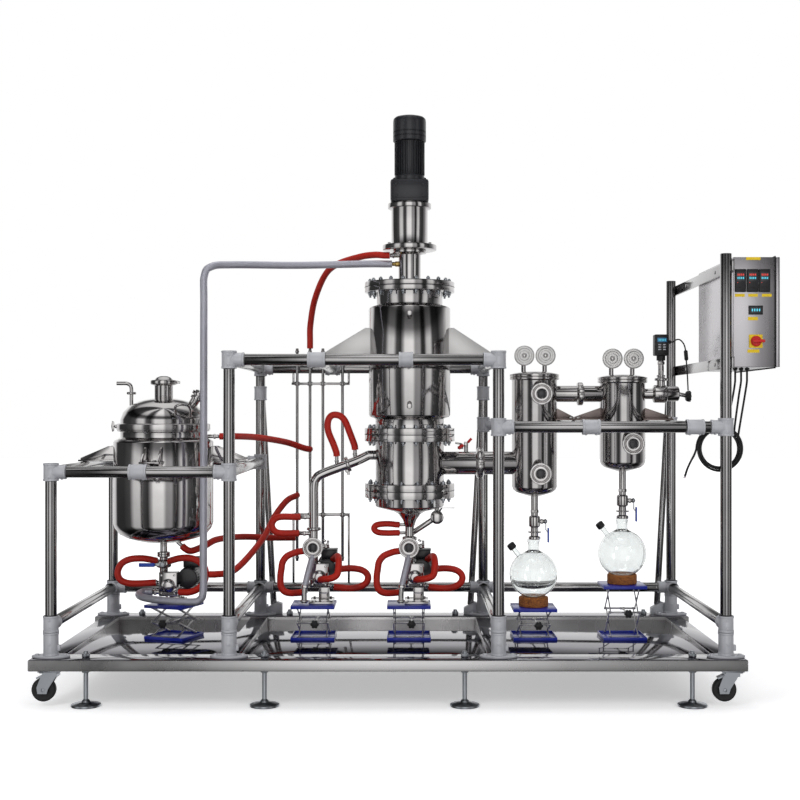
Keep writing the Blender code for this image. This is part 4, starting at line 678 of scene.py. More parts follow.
# the deck sheet: steel with a painted dark reflection
made("deck_sheet", [block((2.835, 1.020, 0.004), (-0.0755, 0, 0.188), 0.001)], deck_steel,
    slot="base_steel")


def hex_nut(centre, across, height, along=(0, 0, 1)):
    centre, half = Vector(centre), Vector(along).normalized() * height / 2
    return bar(centre - half, centre + half, across / 2, sides=6, edge=height * 0.12)


foot_rods = []
for x in FOOT_X:
    for side in (-1, 1):
        y = side * POST_Y
        foot_rods.append(lathe([(0, 0.232), (0.0085, 0.232), (0.010, 0.229), (0.010, 0.030),
            (0.016, 0.026), (0.020, 0.018), (0.0625, 0.010), (0.0625, 0.0), (0, 0.0)], (x, y, 0),
            steps=40))
        foot_rods += [hex_nut((x, y, z), 0.036, 0.016) for z in (0.2135, 0.150)]
        foot_rods.append(bar((x, y, 0.1555), (x, y, 0.1578), 0.022, edge=0.0005))
made("levelling_feet", foot_rods, zinc, slot="zinc_plate")
plates = []
for x in (-1.492, 1.364):
    for side in (-1, 1):
        plates.append(block((0.095, 0.080, 0.008), (x, side * POST_Y, 0.152), 0.002))
        plates += [hex_nut((x + dx, side * POST_Y + dy, 0.1455), 0.014, 0.005)
            for dx in (-0.036, 0.036) for dy in (-0.029, 0.029)]
made("castor_plates", plates, zinc, slot="zinc_plate")
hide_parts("base_frame")

# %% [markdown]
# ## Castors
# The wheel is a lathe shape: a black tread with a step down to its hub, and a bolt. It
# rides on its own body, so it rolls.

# %% Castor wheels
for place_x, column in ((-1.522, "left"), (1.334, "right")):
    for y, row in ((-POST_Y, "front"), (POST_Y, "back")):
        body = f"wheel_{row}_{column}"
        tyre = lathe([(0.0065, 0.014), (0.026, 0.014), (0.029, 0.016), (0.046, 0.016), (0.050, 0.011),
            (0.050, -0.011), (0.046, -0.016), (0.029, -0.016), (0.026, -0.014), (0.0065, -0.014)],
            (place_x, y, 0.071), (0, 1, 0), 48, closed=True)
        dressed(f"caster_wheel_{row}_{column}", f"castor_tyre_{row}_{column}", [tyre], black_rubber,
            body, "wheel_rubber")
        bolt = [hex_nut((place_x, y + s * 0.0245, 0.071), 0.016, 0.004, (0, 1, 0)) for s in (-1, 1)]
        made(f"axle_nuts_{row}_{column}", bolt, zinc, f"caster_{row}_{column}", "zinc_plate")

# %% [markdown]
# ## Tube frame
# Polished tube of 48 mm runs between light grey cast clamps. Each clamp is a short
# sleeve with a thicker bead at each mouth and a small set screw, so the clamps are
# made from turned bars and joined.

# %% Clamps and tubes
TUBE_R, FIT_R, SOCKET_R, CLAMP_HALF = 0.02415, 0.031, 0.0290, 0.0375
LOW, LEFT, MAIN, RIGHT = 0.345, 0.983, 1.455, 1.172  # heights of the rails' axes
GAP = 0.0003  # between pieces that touch on the real one
ON_RAIL = 0.2053
VX = -1.128  # the feed vessel's axis


def clamp_sleeve(start, end, radius, mouths=(1, 1)):
    """A cast sleeve, with a thicker bead at each of its mouths."""
    start, end = Vector(start), Vector(end)
    axis = (end - start).normalized()
    parts = [bar(start, end, radius)]
    for mouth, point, way in ((mouths[0], start, 1), (mouths[1], end, -1)):
        if mouth:
            parts.append(bar(point, point + axis * way * 0.009, radius + 0.0018, edge=0.0015))
    return parts


def clamp(x, y, z, arms=()):
    """A clamp on a post, with a socket for each rail that meets it."""
    parts = clamp_sleeve((x, y, z - CLAMP_HALF), (x, y, z + CLAMP_HALF), FIT_R)
    for dx, dy in arms:
        parts += clamp_sleeve((x + dx * 0.012, y + dy * 0.012, z), (x + dx * 0.064, y + dy * 0.064, z),
            SOCKET_R, (0, 1))
        parts += set_screw((x + dx * 0.046, y + dy * 0.046, z - 0.0285), (0, 0, -1))
    for dz in (-0.020, 0.020):
        parts += set_screw((x, y - 0.030, z + dz), (0, -1, 0))
    return parts


def set_screw(point, along):
    point, along = Vector(point), Vector(along)
    return [bar(point - along * 0.002, point + along * 0.003, 0.0062, sides=16, edge=0.0008),
        bar(point, point + along * 0.0045, 0.0035, sides=6, edge=0.0004)]


def rail_clamp(x, y, z, dy):
    """A clamp round a rail along X, with a socket for a cross tube."""
    parts = clamp_sleeve((x - CLAMP_HALF, y, z), (x + CLAMP_HALF, y, z), FIT_R)
    parts += clamp_sleeve((x, y + dy * 0.012, z), (x, y + dy * 0.064, z), SOCKET_R, (0, 1))
    for dx in (-0.022, 0.022):
        parts += set_screw((x + dx, y, z - 0.0305), (0, 0, -1))
    return parts


def tube_bar(start, end):
    return bar(start, end, TUBE_R, sides=48, edge=0.0015)


def post_foot(x, y, low_arms):
    """An oval floor flange with two bolts under two stacked clamps."""
    oval = bar((0, 0, 0), (0, 0, 0.009), 0.080, sides=56, edge=0.002)
    oval.matrix_world = Matrix.Translation((x, y, ON_RAIL)) @ Matrix.Diagonal((1, 0.56, 1, 1))
    parts = [settle(oval)]
    parts += [lathe([(0, 0.015), (0.007, 0.015), (0.010, 0.011), (0.011, 0.008), (0, 0.008)],
        (x + dx, y, 0.2055), steps=24) for dx in (-0.058, 0.058)]
    parts += clamp_sleeve((x, y, 0.214), (x, y, 0.3100), 0.0315)
    parts += clamp_sleeve((x, y, 0.3112), (x, y, 0.380), 0.0315)
    for z in (0.262, 0.328, 0.364):
        parts += set_screw((x, y - 0.031, z), (0, -1, 0))
    parts.append(block((0.014, 0.012, 0.026), (x + 0.034, y - 0.004, 0.246), 0.003))
    for dx, dy in low_arms:
        parts += clamp_sleeve((x + dx * 0.012, y + dy * 0.012, LOW),
            (x + dx * 0.066, y + dy * 0.066, LOW), SOCKET_R, (0, 1))
    return parts


def rear_stay(x, lean, tubes, casts):
    """A brace from a clamp on a back post down to a wedge foot."""
    y = POST_Y + 0.050
    wedge = [(-0.035, 0.0), (0.045, 0.0), (0.045, 0.052), (0.020, 0.060), (-0.035, 0.030)]
    upright = about_x(x + lean, y - 0.011, ON_RAIL)
    tubes.append(bar((x, y, 1.360), (x + lean, y + 0.002, 0.250), 0.0165, sides=36))
    casts += clamp_sleeve((x, POST_Y, 1.295), (x, POST_Y, 1.365), FIT_R)
    casts += [block((0.016, 0.030, 0.044), (x, POST_Y + 0.040, 1.330), 0.003),
        flat_plate(wedge, 0.046, upright)]


def frame_of(bay, tubes, casts):
    piece = made(bay + "_tubes", tubes, tube_steel, slot="frame_tube")
    made(bay + "_clamps", casts, cast_grey, slot="frame_tube")
    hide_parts(bay + "_frame")


y = POST_Y
left, second, third, right = POST_X
tubes, casts = [], []
for side in (-1, 1):
    tubes += [tube_bar((left, side * y, 0.30), (left, side * y, LEFT + 0.030)),
        tube_bar((left, side * y, LEFT), (second - 0.066, side * y, LEFT))]
    casts += post_foot(left, side * y, [(0, -side)] + ([(1, 0)] if side > 0 else [])) + clamp(left,
        side * y, LEFT, [(1, 0), (0, -side)])
tubes += [tube_bar((left, -y, LEFT), (left, y, LEFT)), tube_bar((left, -y, LOW), (left, y, LOW)),
    tube_bar((left, y, LOW), (second - 0.060, y, LOW))]
tubes.append(tube_bar((VX, -y, LEFT), (VX, -0.285, LEFT)))
casts += rail_clamp(VX, -y, LEFT, 1)
frame_of("left_bay", tubes, casts)

tubes, casts = [], []
for x, inward, outer in ((second, 1, LEFT), (third, -1, RIGHT)):
    for side in (-1, 1):
        arms = [(0, -side)] + ([(inward, 0), (-inward, 0)] if side > 0 else [])
        tubes.append(tube_bar((x, side * y, 0.30), (x, side * y, MAIN + 0.030)))
        casts += post_foot(x, side * y, arms) + clamp(x, side * y, MAIN, [(inward, 0), (0, -side)])
        casts += clamp(x, side * y, outer, [(-inward, 0)])
    tubes += [tube_bar((x, -y, MAIN), (x, y, MAIN)), tube_bar((x, -y, LOW), (x, y, LOW))]
tubes.append(tube_bar((second, -y, LEFT), (second, y, LEFT)))
tubes += [tube_bar((second, side * y, MAIN), (third, side * y, MAIN)) for side in (-1, 1)]
tubes += [tube_bar((second, y, LOW), (third, y, LOW)), tube_bar((-0.378, -y, MAIN), (-0.378, y, MAIN))]
casts += rail_clamp(-0.378, -y, MAIN, 1) + rail_clamp(-0.378, y, MAIN, -1)
casts += clamp_sleeve((-0.032, -y, MAIN), (0.028, -y, MAIN), FIT_R)
for x, lean in ((second, 0.062), (third, -0.062)):
    rear_stay(x, lean, tubes, casts)
frame_of("main_bay", tubes, casts)

tubes, casts = [], []
for side in (-1, 1):
    tubes += [tube_bar((right, side * y, 0.30), (right, side * y, 1.900)),
        tube_bar((third + 0.066, side * y, RIGHT), (right, side * y, RIGHT))]
    casts += post_foot(right, side * y, [(0, -side)] + ([(-1, 0)] if side > 0 else [])) + clamp(right,
        side * y, RIGHT, [(-1, 0)])
for x in (0.776, 1.212):
    tubes.append(tube_bar((x, -y, RIGHT), (x, y, RIGHT)))
    casts += rail_clamp(x, -y, RIGHT, 1) + rail_clamp(x, y, RIGHT, -1)
tubes += [tube_bar((third + 0.060, y, LOW), (right, y, LOW)),
    tube_bar((right, -y, LOW), (right, y, LOW))]
rear_stay(right, -0.062, tubes, casts)
for z in (1.443, 1.850):
    tubes.append(block((0.012, 1.200, 0.048), (1.3665, 0, z), 0.002))
    tubes += [hex_nut((1.3595, ny, z), 0.016, 0.004, (1, 0, 0)) for ny in (-0.30, 0.30)]
frame_of("right_bay", tubes, casts)

# %% [markdown]
# ## Drive
# The motor is black enamel: a finned body with a smooth fan cowl above and a bolted
# gearbox below. One fin is modelled and copied round the body.

# %% Motor and gearbox
AXIS = 0.013  # the column stands this far right of the middle
motor = [lathe([(0, 2.604), (0.052, 2.604), (0.0665, 2.600), (0.0745, 2.592), (0.0765, 2.580),
    (0.0765, 2.490), (0.0725, 2.486), (0.0625, 2.486), (0.0625, 2.330), (0.070, 2.326), (0.070, 2.304),
    (0, 2.304)], (AXIS, 0, 0))]
for ring_z in (2.510, 2.530):
    motor.append(lathe([(0.0764, ring_z + 0.004), (0.0765, ring_z + 0.003), (0.0765, ring_z - 0.003),
        (0.0764, ring_z - 0.004)], (AXIS, 0, 0), closed=True, edge=0))
fin = block((0.009, 0.0026, 0.150), (0.0655, 0, 2.408), 0.0006)
for turn in range(36):
    motor.append(copied(fin, about_z(AXIS, 0, 0, turn * 10)))
bpy.data.objects.remove(fin)
motor += [block((0.176, 0.176, 0.104), (AXIS, 0, 2.252), 0.012),
    lathe([(0.040, 2.204), (0.085, 2.204), (0.085, 2.2003), (0.040, 2.2003)], (AXIS, 0, 0),
    closed=True)]
motor += [block((0.150, 0.006, 0.070), (AXIS, -0.088, 2.252), 0.002),
    block((0.085, 0.070, 0.100), (AXIS, 0.094, 2.450), 0.006)]
motor += [block((0.094, 0.010, 0.108), (AXIS, 0.132, 2.450), 0.003)]
motor += [hex_nut((AXIS + dx, -0.0925, 2.252 + dz), 0.011, 0.004, (0, 1, 0)) for dx in (-0.062, 0.062)
    for dz in (-0.026, 0.026)]
motor += [hex_nut((AXIS + dx, dy, 2.3065), 0.013, 0.005) for dx in (-0.070, 0.070)
    for dy in (-0.070, 0.070)]
dressed("drive_motor", "motor_and_gearbox", motor, black_enamel, slot="black_enamel")

# %% [markdown]
# ## Evaporator column
# Everything here is turned, so each piece is a lathe shape: flanges as short steps,
# the heated jacket as a wider drum with sloped shoulders. The lantern is
# closed towards the front, as in the photo, with a window at each side.

# %% Column
top, base = 2.1997, 1.985
lantern = lathe([(0.100, top), (0.100, top - 0.022), (0.084, top - 0.022), (0.084, base + 0.022),
    (0.125, base + 0.022), (0.125, base), (0.0155, base), (0.0155, base + 0.020), (0.076, base + 0.020),
    (0.076, top - 0.018), (0.030, top - 0.018), (0.030, top)], (AXIS, 0, 0), closed=True)
windows = [block((0.090, 0.050, 0.095), (AXIS + side * 0.085, 0.020, (top + base) / 2), 0.004)
    for side in (-1, 1)]
lantern = cut_out(lantern, windows)
lantern_bolts = []
for turn in range(6):
    a = math.radians(30 + 60 * turn)
    lantern_bolts += [hex_nut((AXIS + 0.108 * math.cos(a), 0.108 * math.sin(a), base + 0.0265), 0.015,
        0.009)]
dressed("motor_lantern", "lantern", [lantern] + lantern_bolts, mirror_steel, slot="vessel_steel")

top = 1.9847
head = [lathe([(0.078, top), (0.078, top - 0.014), (0.060, top - 0.016), (0.0515, top - 0.022),
    (0.0515, 1.846), (0.062, 1.834), (0.208, 1.834), (0.208, 1.8113), (0.0155, 1.8113), (0.0155, top)],
    (AXIS, 0, 0), closed=True)]
head += [bar((AXIS - 0.043, 0, 1.962), (AXIS - 0.091, 0, 1.962), 0.010, sides=24),
    lathe([(0, 0.030), (0.0125, 0.028), (0.0145, 0.020), (0.0105, 0.018), (0.0105, 0), (0, 0)],
    (AXIS - 0.052, 0, 1.962), (-1, 0, 0), 24)]
head.append(block((0.150, 0.030, 0.010), (AXIS, 0, 1.840), 0.002))
dressed("evaporator_head", "evaporator_head_steel", head, mirror_steel, slot="vessel_steel")
made("head_union", [hex_nut((AXIS - 0.058, 0, 1.922), 0.026, 0.018, (1, 0, 0)),
    bar((AXIS - 0.044, 0, 1.922), (AXIS - 0.0815, 0, 1.922), 0.0095, sides=24)], brass,
    slot="vessel_steel")

ears = []
jacket = [lathe([(0.208, 1.811), (0.208, 1.788), (0.153, 1.788), (0.153, 1.730), (0.160, 1.727),
    (0.183, 1.720), (0.189, 1.712), (0.189, 1.222), (0.183, 1.212), (0.162, 1.205), (0.1585, 1.200),
    (0.1585, 1.161), (0.208, 1.161), (0.208, 1.1313), (0.130, 1.1313), (0.130, 1.811)], (AXIS, 0, 0),
    steps=72, closed=True)]
cross_top = 1.47945
for side, tube_x in ((-1, -0.378), (1, 0.387)):
    reach = abs(tube_x - AXIS)
    ears.append(block((reach + 0.020 - 0.174, 0.120, 0.010),
        (AXIS + side * (0.174 + reach + 0.020) / 2, 0, cross_top + 0.005), 0.002))
    gusset = [(0.172, cross_top + 0.006), (reach + 0.010, cross_top + 0.006),
        (reach + 0.010, cross_top + 0.024), (0.204, 1.622), (0.172, 1.622)]
    for gy in (-0.050, 0.050):
        ears.append(flat_plate([(side * a, b) for a, b in gusset], 0.008, about_x(AXIS, gy, 0)))
    jacket += [hex_nut((tube_x, ny, cross_top + 0.0145), 0.020, 0.009) for ny in (-0.028, 0.028)]
for z in (1.680, 1.262):
    jacket += [bar((AXIS, -0.179, z), (AXIS, -0.219, z), 0.0115, sides=24),
        hex_nut((AXIS, -0.212, z), 0.028, 0.012, (0, 1, 0))]
dressed("evaporator_jacket", "heated_jacket", jacket, mirror_steel, slot="vessel_steel")
made("jacket_ears", ears, pale_steel, slot="vessel_steel")

body = [lathe([(0.208, 1.131), (0.208, 1.100), (0.1585, 1.100), (0.1585, 0.905), (0.208, 0.905),
    (0.208, 0.8733), (0.130, 0.8733), (0.130, 1.131)], (AXIS, 0, 0), steps=72, closed=True)]
body.append(lathe([(0, 0.327), (0.0685, 0.327), (0.0685, 0.313), (0.0535, 0.307), (0.0535, 0.1385),
    (0, 0.1385)], (AXIS, 0, 0.998), (1, 0, 0)))
body += [bar((AXIS - 0.1445, 0, 1.035), (AXIS - 0.168, 0, 1.035), 0.022),
    bar((0.275, 0, 1.040), (0.275, 0, 1.086), 0.010, sides=24)]
body += [hex_nut((0.275, 0, 1.086), 0.024, 0.020, (1, 0, 0)),
    bar((0.255, 0, 1.086), (0.225, 0, 1.092), 0.0045, sides=16),
    bar((0.236, 0, 1.068), (0.262, 0, 1.068), 0.0055, sides=16)]
dressed("collector_body", "collector_steel", body, mirror_steel, slot="vessel_steel")
made("vent_valve_lever", [bar((0.284, 0, 1.094), (0.300, -0.004, 1.112), 0.006, sides=20),
    bar((0.240, 0, 1.0655), (0.262, 0, 1.0840), 0.0085, sides=20)], red_plastic)

cone = [lathe([(0, 0.730), (0.014, 0.732), (0.112, 0.815), (0.112, 0.873), (0.208, 0.873),
    (0.208, 0.840), (0.1585, 0.840), (0.1585, 0.800), (0.152, 0.795), (0.075, 0.775), (0.052, 0.762),
    (0.032, 0.735), (0.021, 0.702), (0, 0.702)], (AXIS, 0, 0), steps=72)]
cone += [lathe([(0, 0.706), (0.0205, 0.706), (0.0205, 0.660), (0.034, 0.656), (0.034, 0.641),
    (0, 0.641)], (AXIS, 0, 0))]
cone += [bar((AXIS + 0.010, 0, 0.672), (0.118, -0.010, 0.735), 0.0125, sides=28),
    lathe([(0, 0), (0.018, 0), (0.030, 0.006), (0.030, 0.014), (0.022, 0.020), (0.022, 0.058),
    (0.030, 0.064), (0.030, 0.072), (0.018, 0.078), (0, 0.078)], (0.140, 0.026, 0.748), (0, -1, 0), 32)]
cone += [bar((0.140, -0.010, 0.841), (0.140, -0.010, 0.760), 0.0115, sides=28),
    bar((0.148, -0.045, 0.772), (0.160, -0.058, 0.793), 0.004, sides=16),
    block((0.062, 0.010, 0.003), (0.190, -0.058, 0.794), 0.001)]
cone += [bar((AXIS - 0.018, 0, z), (AXIS - 0.050, 0, z), 0.0075, sides=20) for z in (0.7115, 0.674)]
dressed("residue_cone", "residue_cone_steel", cone, mirror_steel, slot="vessel_steel")

# %% [markdown]
# ## Flange bolts
# Three flange pairs are held by bolts all round. One bolt with its nut is modelled
# with an extruded hexagon, a washer and a threaded tip, then copied round each pair.

# %% Bolts round the flanges
def bolt_round(name, low, high, count, start):
    size, radius = 0.019, 0.185
    master = joined([hex_nut((0, 0, high + 0.0065), size, 0.010),
        bar((0, 0, high), (0, 0, high + 0.0016), size * 0.62, sides=20, edge=0.0004),
        bar((0, 0, high + 0.008), (0, 0, high + 0.016), 0.0048, sides=12, edge=0.001),
        hex_nut((0, 0, low - 0.0060), size, 0.009), bar((0, 0, low - 0.0016), (0, 0, low), size * 0.62,
        sides=20, edge=0.0004), bar((0, 0, low - 0.020), (0, 0, low - 0.008), 0.0048, sides=12,
        edge=0.001)])
    ring = []
    for number in range(count):
        a = start + math.tau * number / count
        ring.append(copied(master, Matrix.Translation((AXIS + radius * math.cos(a),
            radius * math.sin(a), 0)) @ Matrix.Rotation(a, 4, "Z")))
    bpy.data.objects.remove(master)
    return made(name, ring, zinc, slot="zinc_plate")


bolt_round("head_flange_bolts", 1.788, 1.834, 20, 0.157)
bolt_round("body_flange_bolts", 1.100, 1.161, 20, 0.157)
bolt_round("cone_flange_bolts", 0.840, 0.905, 16, 0.196)
gaskets = [lathe([(0.2065, z + 0.0012), (0.2084, z + 0.0012), (0.2084, z - 0.0012),
    (0.2065, z - 0.0012)], (AXIS, 0, 0), steps=64, closed=True, edge=0)
    for z in (1.8112, 1.1312, 0.8732)]
made("flange_gaskets", gaskets, black_rubber)

# %% [markdown]
# ## Rotor and inner condenser
# They are hidden while the column is closed. The shaft shows in the lantern, so it
# gets a finer coupling with two hubs; the wiper keeps the frame's own solid.

# %% Hidden parts
def solid_in(node, material):
    """Keep the frame's own solid, with a finish of the scene."""
    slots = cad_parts[node].data.materials
    slots.clear()
    slots.append(material)


for node in ("wiper_rotor", "inner_condenser"):
    solid_in(node, tube_steel)
made("shaft_coupling", [lathe([(0.0125, 2.156), (0.0285, 2.156), (0.0295, 2.153), (0.0295, 2.130),
    (0.0225, 2.127), (0.0225, 2.119), (0.0295, 2.116), (0.0295, 2.093), (0.0285, 2.089),
    (0.0125, 2.089)], (AXIS, 0, 0), closed=True, steps=40)], zinc, "rotor", "vessel_steel")

# %% [markdown]
# ## Distillate pipe
# A polished pipe falls from the body to the left pump. Two barbs carry a bridge hose
# over its clamp, and two more carry a side loop.

# %% Distillate pipe and the short red hoses
def piped(points, radius, material, name, rings=6, steps=10):
    """A short rigid pipe or formed hose: a curve turned into a mesh."""
    curve = drawn_curve(name, smooth_route(points, steps), radius, material, rings)
    only(curve)
    bpy.ops.object.convert(target="MESH")
    return bpy.context.object


def formed_hose(name, points, radius=HOSE_R, x=0.0):
    """A stiff bent hose, with its points given from the place x of its machine."""
    route = [(x + dx, y, z) for dx, y, z in points]
    made(name, [piped(route, radius, red_silicone, name)], red_silicone, slot="red_silicone")


def ferrule(radius, half, inset, centre, along=(0, 0, 1), steps=36):
    """A round pipe joint: a short disc with both rims sloped."""
    edge_half, face = half / 2, radius - inset
    profile = [(0, half), (face, half), (radius, edge_half), (radius, -edge_half), (face, -half),
        (0, -half)]
    return lathe(profile, centre, along, steps)


def barb(point, along, length=0.024):
    """A hose tail that the red hose is pushed over."""
    return lathe([(0, length), (0.010, length), (0.0125, length * 0.55), (0.0125, length * 0.4),
        (0.008, length * 0.3), (0.008, 0), (0, 0)], point, along, 20)


pipe = [piped([(AXIS - 0.1683, 0, 1.035), (AXIS - 0.188, 0, 1.035), (-0.240, 0, 1.005),
    (-0.385, 0, 0.951), (-0.421, 0, 0.925), (-0.431, 0, 0.890), (-0.431, 0, 0.8), (-0.431, 0, 0.7003)],
    0.022, mirror_steel, "pipe", rings=8)]
pipe += [ferrule(0.036, 0.008, 0.002, (-0.273, 0, 0.9929), (0.94, 0, 0.34), 32)]
pipe += [hex_nut((-0.276, -0.030, 0.962), 0.018, 0.010, (0, 1, 0)),
    block((0.012, 0.020, 0.026), (-0.270, 0.0, 0.956), 0.002)]
for px, pz in ((-0.325, 0.974), (-0.240, 1.005)):
    pipe += [bar((px, 0, pz), (px, 0, pz + 0.058), 0.0088, sides=24),
        hex_nut((px, 0, pz + 0.034), 0.024, 0.010)]
pipe += [bar((-0.431, 0, 0.748), (-0.499, 0, 0.748), 0.0095, sides=24),
    hex_nut((-0.472, 0, 0.748), 0.024, 0.012, (1, 0, 0))]
dressed("distillate_pipe", "distillate_pipe_steel", pipe, mirror_steel, slot="vessel_steel")
formed_hose("bridge_hose", [(-0.325, 0, 1.030), (-0.326, 0, 1.045), (-0.340, 0, 1.085),
    (-0.364, 0, 1.145), (-0.366, 0, 1.190), (-0.352, 0, 1.216), (-0.330, 0, 1.222), (-0.305, 0, 1.214),
    (-0.285, 0, 1.190), (-0.264, 0, 1.138), (-0.246, 0, 1.090), (-0.241, 0, 1.072), (-0.240, 0, 1.060)])
formed_hose("side_loop_hose", [(-0.493, 0, 0.748), (-0.520, 0, 0.748), (-0.575, 0, 0.749),
    (-0.603, 0, 0.744), (-0.620, 0, 0.730), (-0.627, 0, 0.710), (-0.620, 0, 0.690), (-0.603, 0, 0.676),
    (-0.575, 0, 0.672), (-0.520, 0, 0.672), (-0.4993, 0, 0.672)])
formed_hose("cone_loop_hose", [(-0.033, 0, 0.7115), (-0.050, 0, 0.7125), (-0.087, 0, 0.716),
    (-0.124, 0, 0.714), (-0.144, 0, 0.708), (-0.152, 0, 0.695), (-0.144, 0, 0.682), (-0.124, 0, 0.675),
    (-0.087, 0, 0.673), (-0.050, 0, 0.674), (-0.033, 0, 0.674)], 0.0140)

# %% [markdown]
# ## Feed vessel and lid
# A jacketed drum with rounded shoulders and a dished bottom. The lid is a separate
# dome with a charging port, a gas pipe, a sight tube and a clamp band.

# %% Feed vessel
vessel = [lathe([(0, 0.655), (0.110, 0.668), (0.165, 0.690), (0.190, 0.730), (0.190, 1.158),
    (0.211, 1.158), (0.211, 1.146), (0.1975, 1.144), (0.1975, 1.118), (0.206, 1.113), (0.224, 1.104),
    (0.229, 1.096), (0.229, 0.722), (0.222, 0.700), (0.200, 0.672), (0.160, 0.652), (0.100, 0.636),
    (0.0, 0.627)], (VX, 0, 0), steps=72)]
vessel.append(lathe([(0, 0.640), (0.0165, 0.640), (0.0165, 0.588), (0.030, 0.586), (0.030, 0.5751),
    (0, 0.5751)], (VX, 0, 0), steps=32))
seat = LEFT + TUBE_R + GAP
reach = abs(left - VX) + 0.018
gusset = [(0.217, seat + 0.006), (reach, seat + 0.006), (reach, seat + 0.016), (0.249, seat + 0.070),
    (0.217, seat + 0.070)]
for angle, length in ((0, reach), (180, reach), (270, 0.345)):
    spin = about_z(VX, 0, 0, angle)
    foot = block((length - 0.209, 0.090, 0.008), ((length + 0.219) / 2, 0, seat + 0.004), 0.0015)
    foot.matrix_world = spin
    vessel.append(settle(foot))
    for gy in (-0.036, 0.036):
        vessel.append(flat_plate([(min(a, length - 0.006), b) for a, b in gusset], 0.007,
            spin @ about_x(0, gy, 0)))
    for ny in (-0.020, 0.020):
        spot = spin @ Vector((length - 0.022, ny, seat + 0.012))
        vessel.append(hex_nut(spot, 0.017, 0.008))
vessel += [bar((VX + 0.1945, 0, 1.122), (VX + 0.259, 0, 1.122), 0.0088, sides=24),
    hex_nut((VX + 0.236, 0, 1.122), 0.024, 0.010, (1, 0, 0)),
    bar((VX + 0.050, -0.010, 0.648), (VX + 0.085, -0.010, 0.616), 0.0088, sides=24)]
dressed("feed_vessel", "feed_vessel_steel", vessel, mirror_steel, slot="vessel_steel")

rim, lid_top, port_top = 1.1583, 1.300, 1.402
lid = [lathe([(0, lid_top), (0.060, lid_top - 0.003), (0.110, lid_top - 0.014),
    (0.155, lid_top - 0.036), (0.185, lid_top - 0.066), (0.1975, lid_top - 0.100),
    (0.1975, rim + 0.016), (0.211, rim + 0.013), (0.211, rim), (0.190, rim), (0.190, lid_top - 0.104),
    (0.178, lid_top - 0.074), (0.145, lid_top - 0.042), (0.080, lid_top - 0.020), (0, lid_top - 0.012)],
    (VX, 0, 0), steps=72)]
lid.append(lathe([(0, port_top), (0.020, port_top - 0.001), (0.034, port_top - 0.008),
    (0.044, port_top - 0.018), (0.060, port_top - 0.020), (0.0615, port_top - 0.024),
    (0.0615, port_top - 0.036), (0.058, port_top - 0.040), (0.0425, port_top - 0.044),
    (0.0425, lid_top - 0.004), (0, lid_top - 0.006)], (VX, 0, 0), steps=48))
lid.append(piped([(VX - 0.150, 0, 1.255), (VX - 0.150, 0, 1.290), (VX - 0.150, 0, 1.340),
    (VX - 0.155, 0, 1.358), (VX - 0.170, 0, 1.367), (VX - 0.190, 0, 1.368), (VX - 0.218, 0, 1.368)],
    0.0088, mirror_steel, "gas_pipe"))
lid += [ferrule(0.022, 0.006, 0.002, (VX - 0.150, 0, 1.322), steps=28)]
lid += [bar((VX + 0.132, 0, 1.266), (VX + 0.170, 0, 1.330), 0.0215),
    bar((VX + 0.158, 0, 1.310), (VX + 0.166, 0, 1.3235), 0.0315),
    bar((VX + 0.148, 0, 1.293), (VX + 0.1545, 0, 1.304), 0.028)]
lid += [lathe([(0.206, 0.024), (0.2145, 0.020), (0.2145, -0.006), (0.206, -0.010)],
    (VX, 0, rim + 0.001), closed=True, steps=72)]
lid += [bar((VX - 0.208, 0, rim + 0.010), (VX - 0.234, 0, rim + 0.010), 0.0055, sides=20),
    hex_nut((VX - 0.222, 0, rim + 0.010), 0.018, 0.008, (1, 0, 0))]
lid += [flat_plate([(-0.005, -0.025), (0.003, -0.022), (0.005, 0), (0.003, 0.022), (-0.005, 0.025),
    (-0.009, 0)], 0.010, about_x(VX - 0.234, 0, rim + 0.010))]
lid.append(piped([(VX + 0.085, -0.160, 1.215), (VX + 0.086, -0.178, 1.238), (VX + 0.090, -0.198, 1.258),
    (VX + 0.108, -0.200, 1.267), (VX + 0.126, -0.194, 1.268), (VX + 0.144, -0.180, 1.263),
    (VX + 0.150, -0.160, 1.245), (VX + 0.146, -0.138, 1.216)], 0.0058, mirror_steel, "handle"))
lid += [hex_nut((VX + 0.064, 0, port_top - 0.028), 0.014, 0.008, (1, 0, 0)),
    block((0.020, 0.010, 0.012), (VX + 0.066, 0, port_top - 0.030), 0.002)]
dressed("feed_vessel_lid", "vessel_lid_steel", lid, mirror_steel, "lid", "vessel_steel")
# the lid's sight glass is painted dark: painted shade of the unlit inside
made("lid_sight_glass", [lathe([(0, 0.0015), (0.016, 0.0015), (0.016, 0), (0, 0)],
    (VX + 0.170, 0, 1.330), (0.51, 0, 0.86), 28, edge=0)], dark_inside, "lid")

# %% [markdown]
# ## Laboratory jacks
# Blue plates with a folded lip, four pairs of flat arms that cross, and cross rods
# with bright ends. A black star knob faces the front. The pump jacks stand still.
# The flask jacks' platforms ride with their flasks, and their arms and knobs get meshes of their own.

# %% Jacks
ARM = 0.170  # length of a jack arm between its pins


def jack_plate(z, spin, lip):
    """A square plate with a lip folded up (1) or down (-1)."""
    parts = [block((0.200, 0.200, 0.006), (0, 0, z))]
    for side in (-1, 1):
        parts.append(block((0.200, 0.0035, 0.014), (0, side * 0.0982, z + lip * 0.004), 0.001))
        parts.append(block((0.0035, 0.200, 0.014), (side * 0.0982, 0, z + lip * 0.004), 0.001))
    for part in parts:
        part.matrix_world = spin
        settle(part)
    return parts


